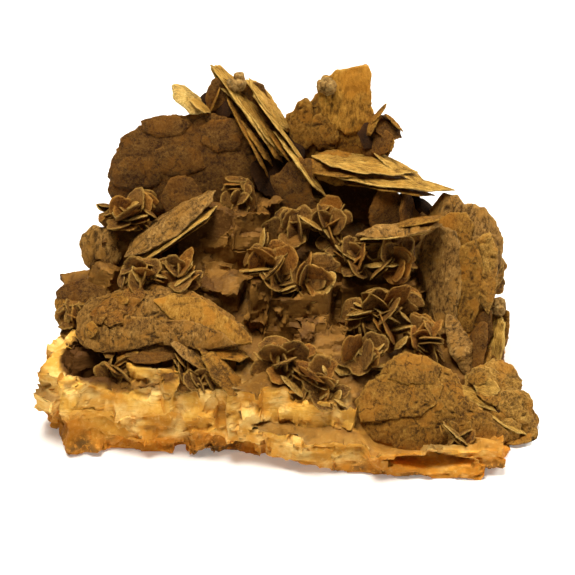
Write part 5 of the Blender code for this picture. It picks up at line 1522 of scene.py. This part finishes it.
def stone_detail(points, normals, tones, pits):
    """The matrix's stain, darkness (pits, and painted shade in the hollow), brown crust that is partly
    painted shade, and tone at each point, and its moss.
    """
    large_tone, small_tone = tones
    x, y, z = points.T
    stain = 0.8 * noise(points, 8.0, 21, 3) + 1.1 * (1 - z / 11.0) + 0.7 * (large_tone - 0.5)
    # Brown on the inner top under the blades, on the right behind them and on upward faces away from the
    # crest: partly a crust, partly painted shade.
    inner = smooth(z + 4.5 * noise(points, 11.0, 41, 4), 10.0, 13.0)
    inner = inner * smooth(y + 0.25 * x * (x < 0), -20.5, -15.5)
    right = smooth(z, 5.0, 8.0) * smooth(x, 18.0, 24.0) * smooth(y, -19.0, -14.0)
    crest = np.linalg.norm((points - CREST[0]) / CREST[1], axis=-1)
    upward_crust_and_shade = smooth(normals[:, 2], 0.35, 0.8) * smooth(z, 4.0, 8.0) * smooth(crest, 0.8, 1.1)
    brown = np.maximum(np.maximum(inner, right), 0.85 * upward_crust_and_shade)
    brown = np.clip(brown + 0.3 * smooth(noise(points, 6.0, 25, 3), 0.1, 0.5), 0, 1)
    # The hollow: brown, and nearly black inside as painted shade.
    hollow = np.linalg.norm((points - CAVITY[0]) / CAVITY[1], axis=-1)
    brown = np.maximum(brown, 1 - smooth(hollow, 1.0, 1.12))
    hollow_shade = (1 - smooth(hollow, 0.96, 1.1)) * 0.92
    crumbly = 1 - smooth(z + 2.0 * noise(points, 3.0, 32, 2), 1.5, 4.0)
    moss = crumbly * smooth(noise(points, 5.0, 31, 4), -0.15, 0.3) * 0.85
    tone = np.clip(0.6 * large_tone + 0.4 * small_tone, 0, 1)
    return np.column_stack((smooth(stain, 0.1, 1.1), np.maximum(pits * 0.5, hollow_shade), brown, tone)), moss


def matrix_rock():
    """The matrix: its solid remeshed finely and broken along cleavage steps."""
    item = bpy.data.objects.new("matrix_crystals", with_rocks(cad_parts["matrix"].data))
    bpy.context.scene.collection.objects.link(item)
    remesh = item.modifiers.new("remesh", "REMESH")
    remesh.mode = "VOXEL"
    remesh.voxel_size = VOXEL * MM
    bpy.context.view_layer.update()
    graph = bpy.context.evaluated_depsgraph_get()
    fine = bpy.data.meshes.new_from_object(item.evaluated_get(graph))
    item.modifiers.clear()
    item.data = fine
    points, normals = np.empty(len(fine.vertices) * 3), np.empty(len(fine.vertices) * 3)
    fine.vertices.foreach_get("co", points)
    fine.vertices.foreach_get("normal", normals)
    points, normals = points.reshape(-1, 3) / MM + MIDDLE, normals.reshape(-1, 3)
    under = smooth(-normals[:, 2], 0.8, 0.95) * (1 - smooth(points[:, 2], 0.3, 0.8))
    moved, tones, pits = broken_stone(points, normals, under)
    fill(fine.vertices, "co", (moved - MIDDLE) * MM)
    detail, moss = stone_detail(points, normals, tones, pits)
    fill(fine.color_attributes.new("detail", "FLOAT_COLOR", "POINT").data, "color", detail)
    fill(fine.attributes.new("moss", "FLOAT", "POINT").data, "value", moss)
    fine.materials.clear()
    fine.materials.append(matrix_stone())
    fine.shade_smooth()
    fine.set_sharp_from_angle(angle=SHARP_EDGE)
    fine.update()
    finished(item)


def aimed(name, light, place, target, **values):
    """A light or camera at a place, looking at a target."""
    item = bpy.data.objects.new(name, light)
    item.location = place
    item.rotation_euler = (Vector(target) - Vector(place)).to_track_quat("-Z", "Y").to_euler()
    for key, value in values.items():
        setattr(light, key, value)
    bpy.context.scene.collection.objects.link(item)
    return item


def studio():
    """A pale floor that glows like a light table, a softbox overhead, and the camera."""
    scene = bpy.context.scene
    scene.camera = aimed(
        "camera", bpy.data.cameras.new("camera"), (EYE - MIDDLE) * MM, (EYE_AIM - MIDDLE) * MM,
        sensor_width=SENSOR, lens=SENSOR * EYE_REACH / (2 * PICTURE_MIDDLE * PICTURE_POINT),
        clip_start=0.01, clip_end=20,
    )
    mesh = bpy.data.meshes.new("floor")
    corners = [(x * FLOOR_HALF, y * FLOOR_HALF, 0) for x, y in ((-1, -1), (1, -1), (1, 1), (-1, 1))]
    mesh.from_pydata(corners, [], [(0, 1, 2, 3)])
    floor = bpy.data.objects.new("floor", mesh)
    floor.location.z = FLOOR_HEIGHT
    scene.collection.objects.link(floor)
    paint = Paint("floor")
    place = paint.put("ShaderNodeTexCoord").outputs["Object"]
    cloud = paint.put("ShaderNodeTexNoise", Vector=place, Scale=12.0, Detail=2.0).outputs[0]
    colour = paint.mix(cloud, (0.87, 0.855, 0.81), (0.91, 0.895, 0.85))
    paint.shader.inputs["Emission Color"].default_value = (1.0, 0.985, 0.95, 1)
    paint.shader.inputs["Emission Strength"].default_value = 0.2
    mesh.materials.append(paint.finish(colour, 0.6, ((cloud, 0.01),)))
    for name, place, size, energy, colour in LIGHTS:
        light = bpy.data.lights.new(name, "AREA")
        aimed(name, light, place, LIT, shape="SQUARE", size=size, energy=energy, color=colour)
    world = bpy.data.worlds.new("world")
    world.use_nodes = True
    sky = world.node_tree.nodes["Background"]
    sky.inputs["Color"].default_value = (1.0, 0.99, 0.97, 1)
    sky.inputs["Strength"].default_value = 0.05
    scene.world = world
    scene.view_settings.view_transform = "Standard"


studio()
matrix_rock()
for name in BLADES:
    blades(name)
for name in ROSETTES:
    rosette(name)
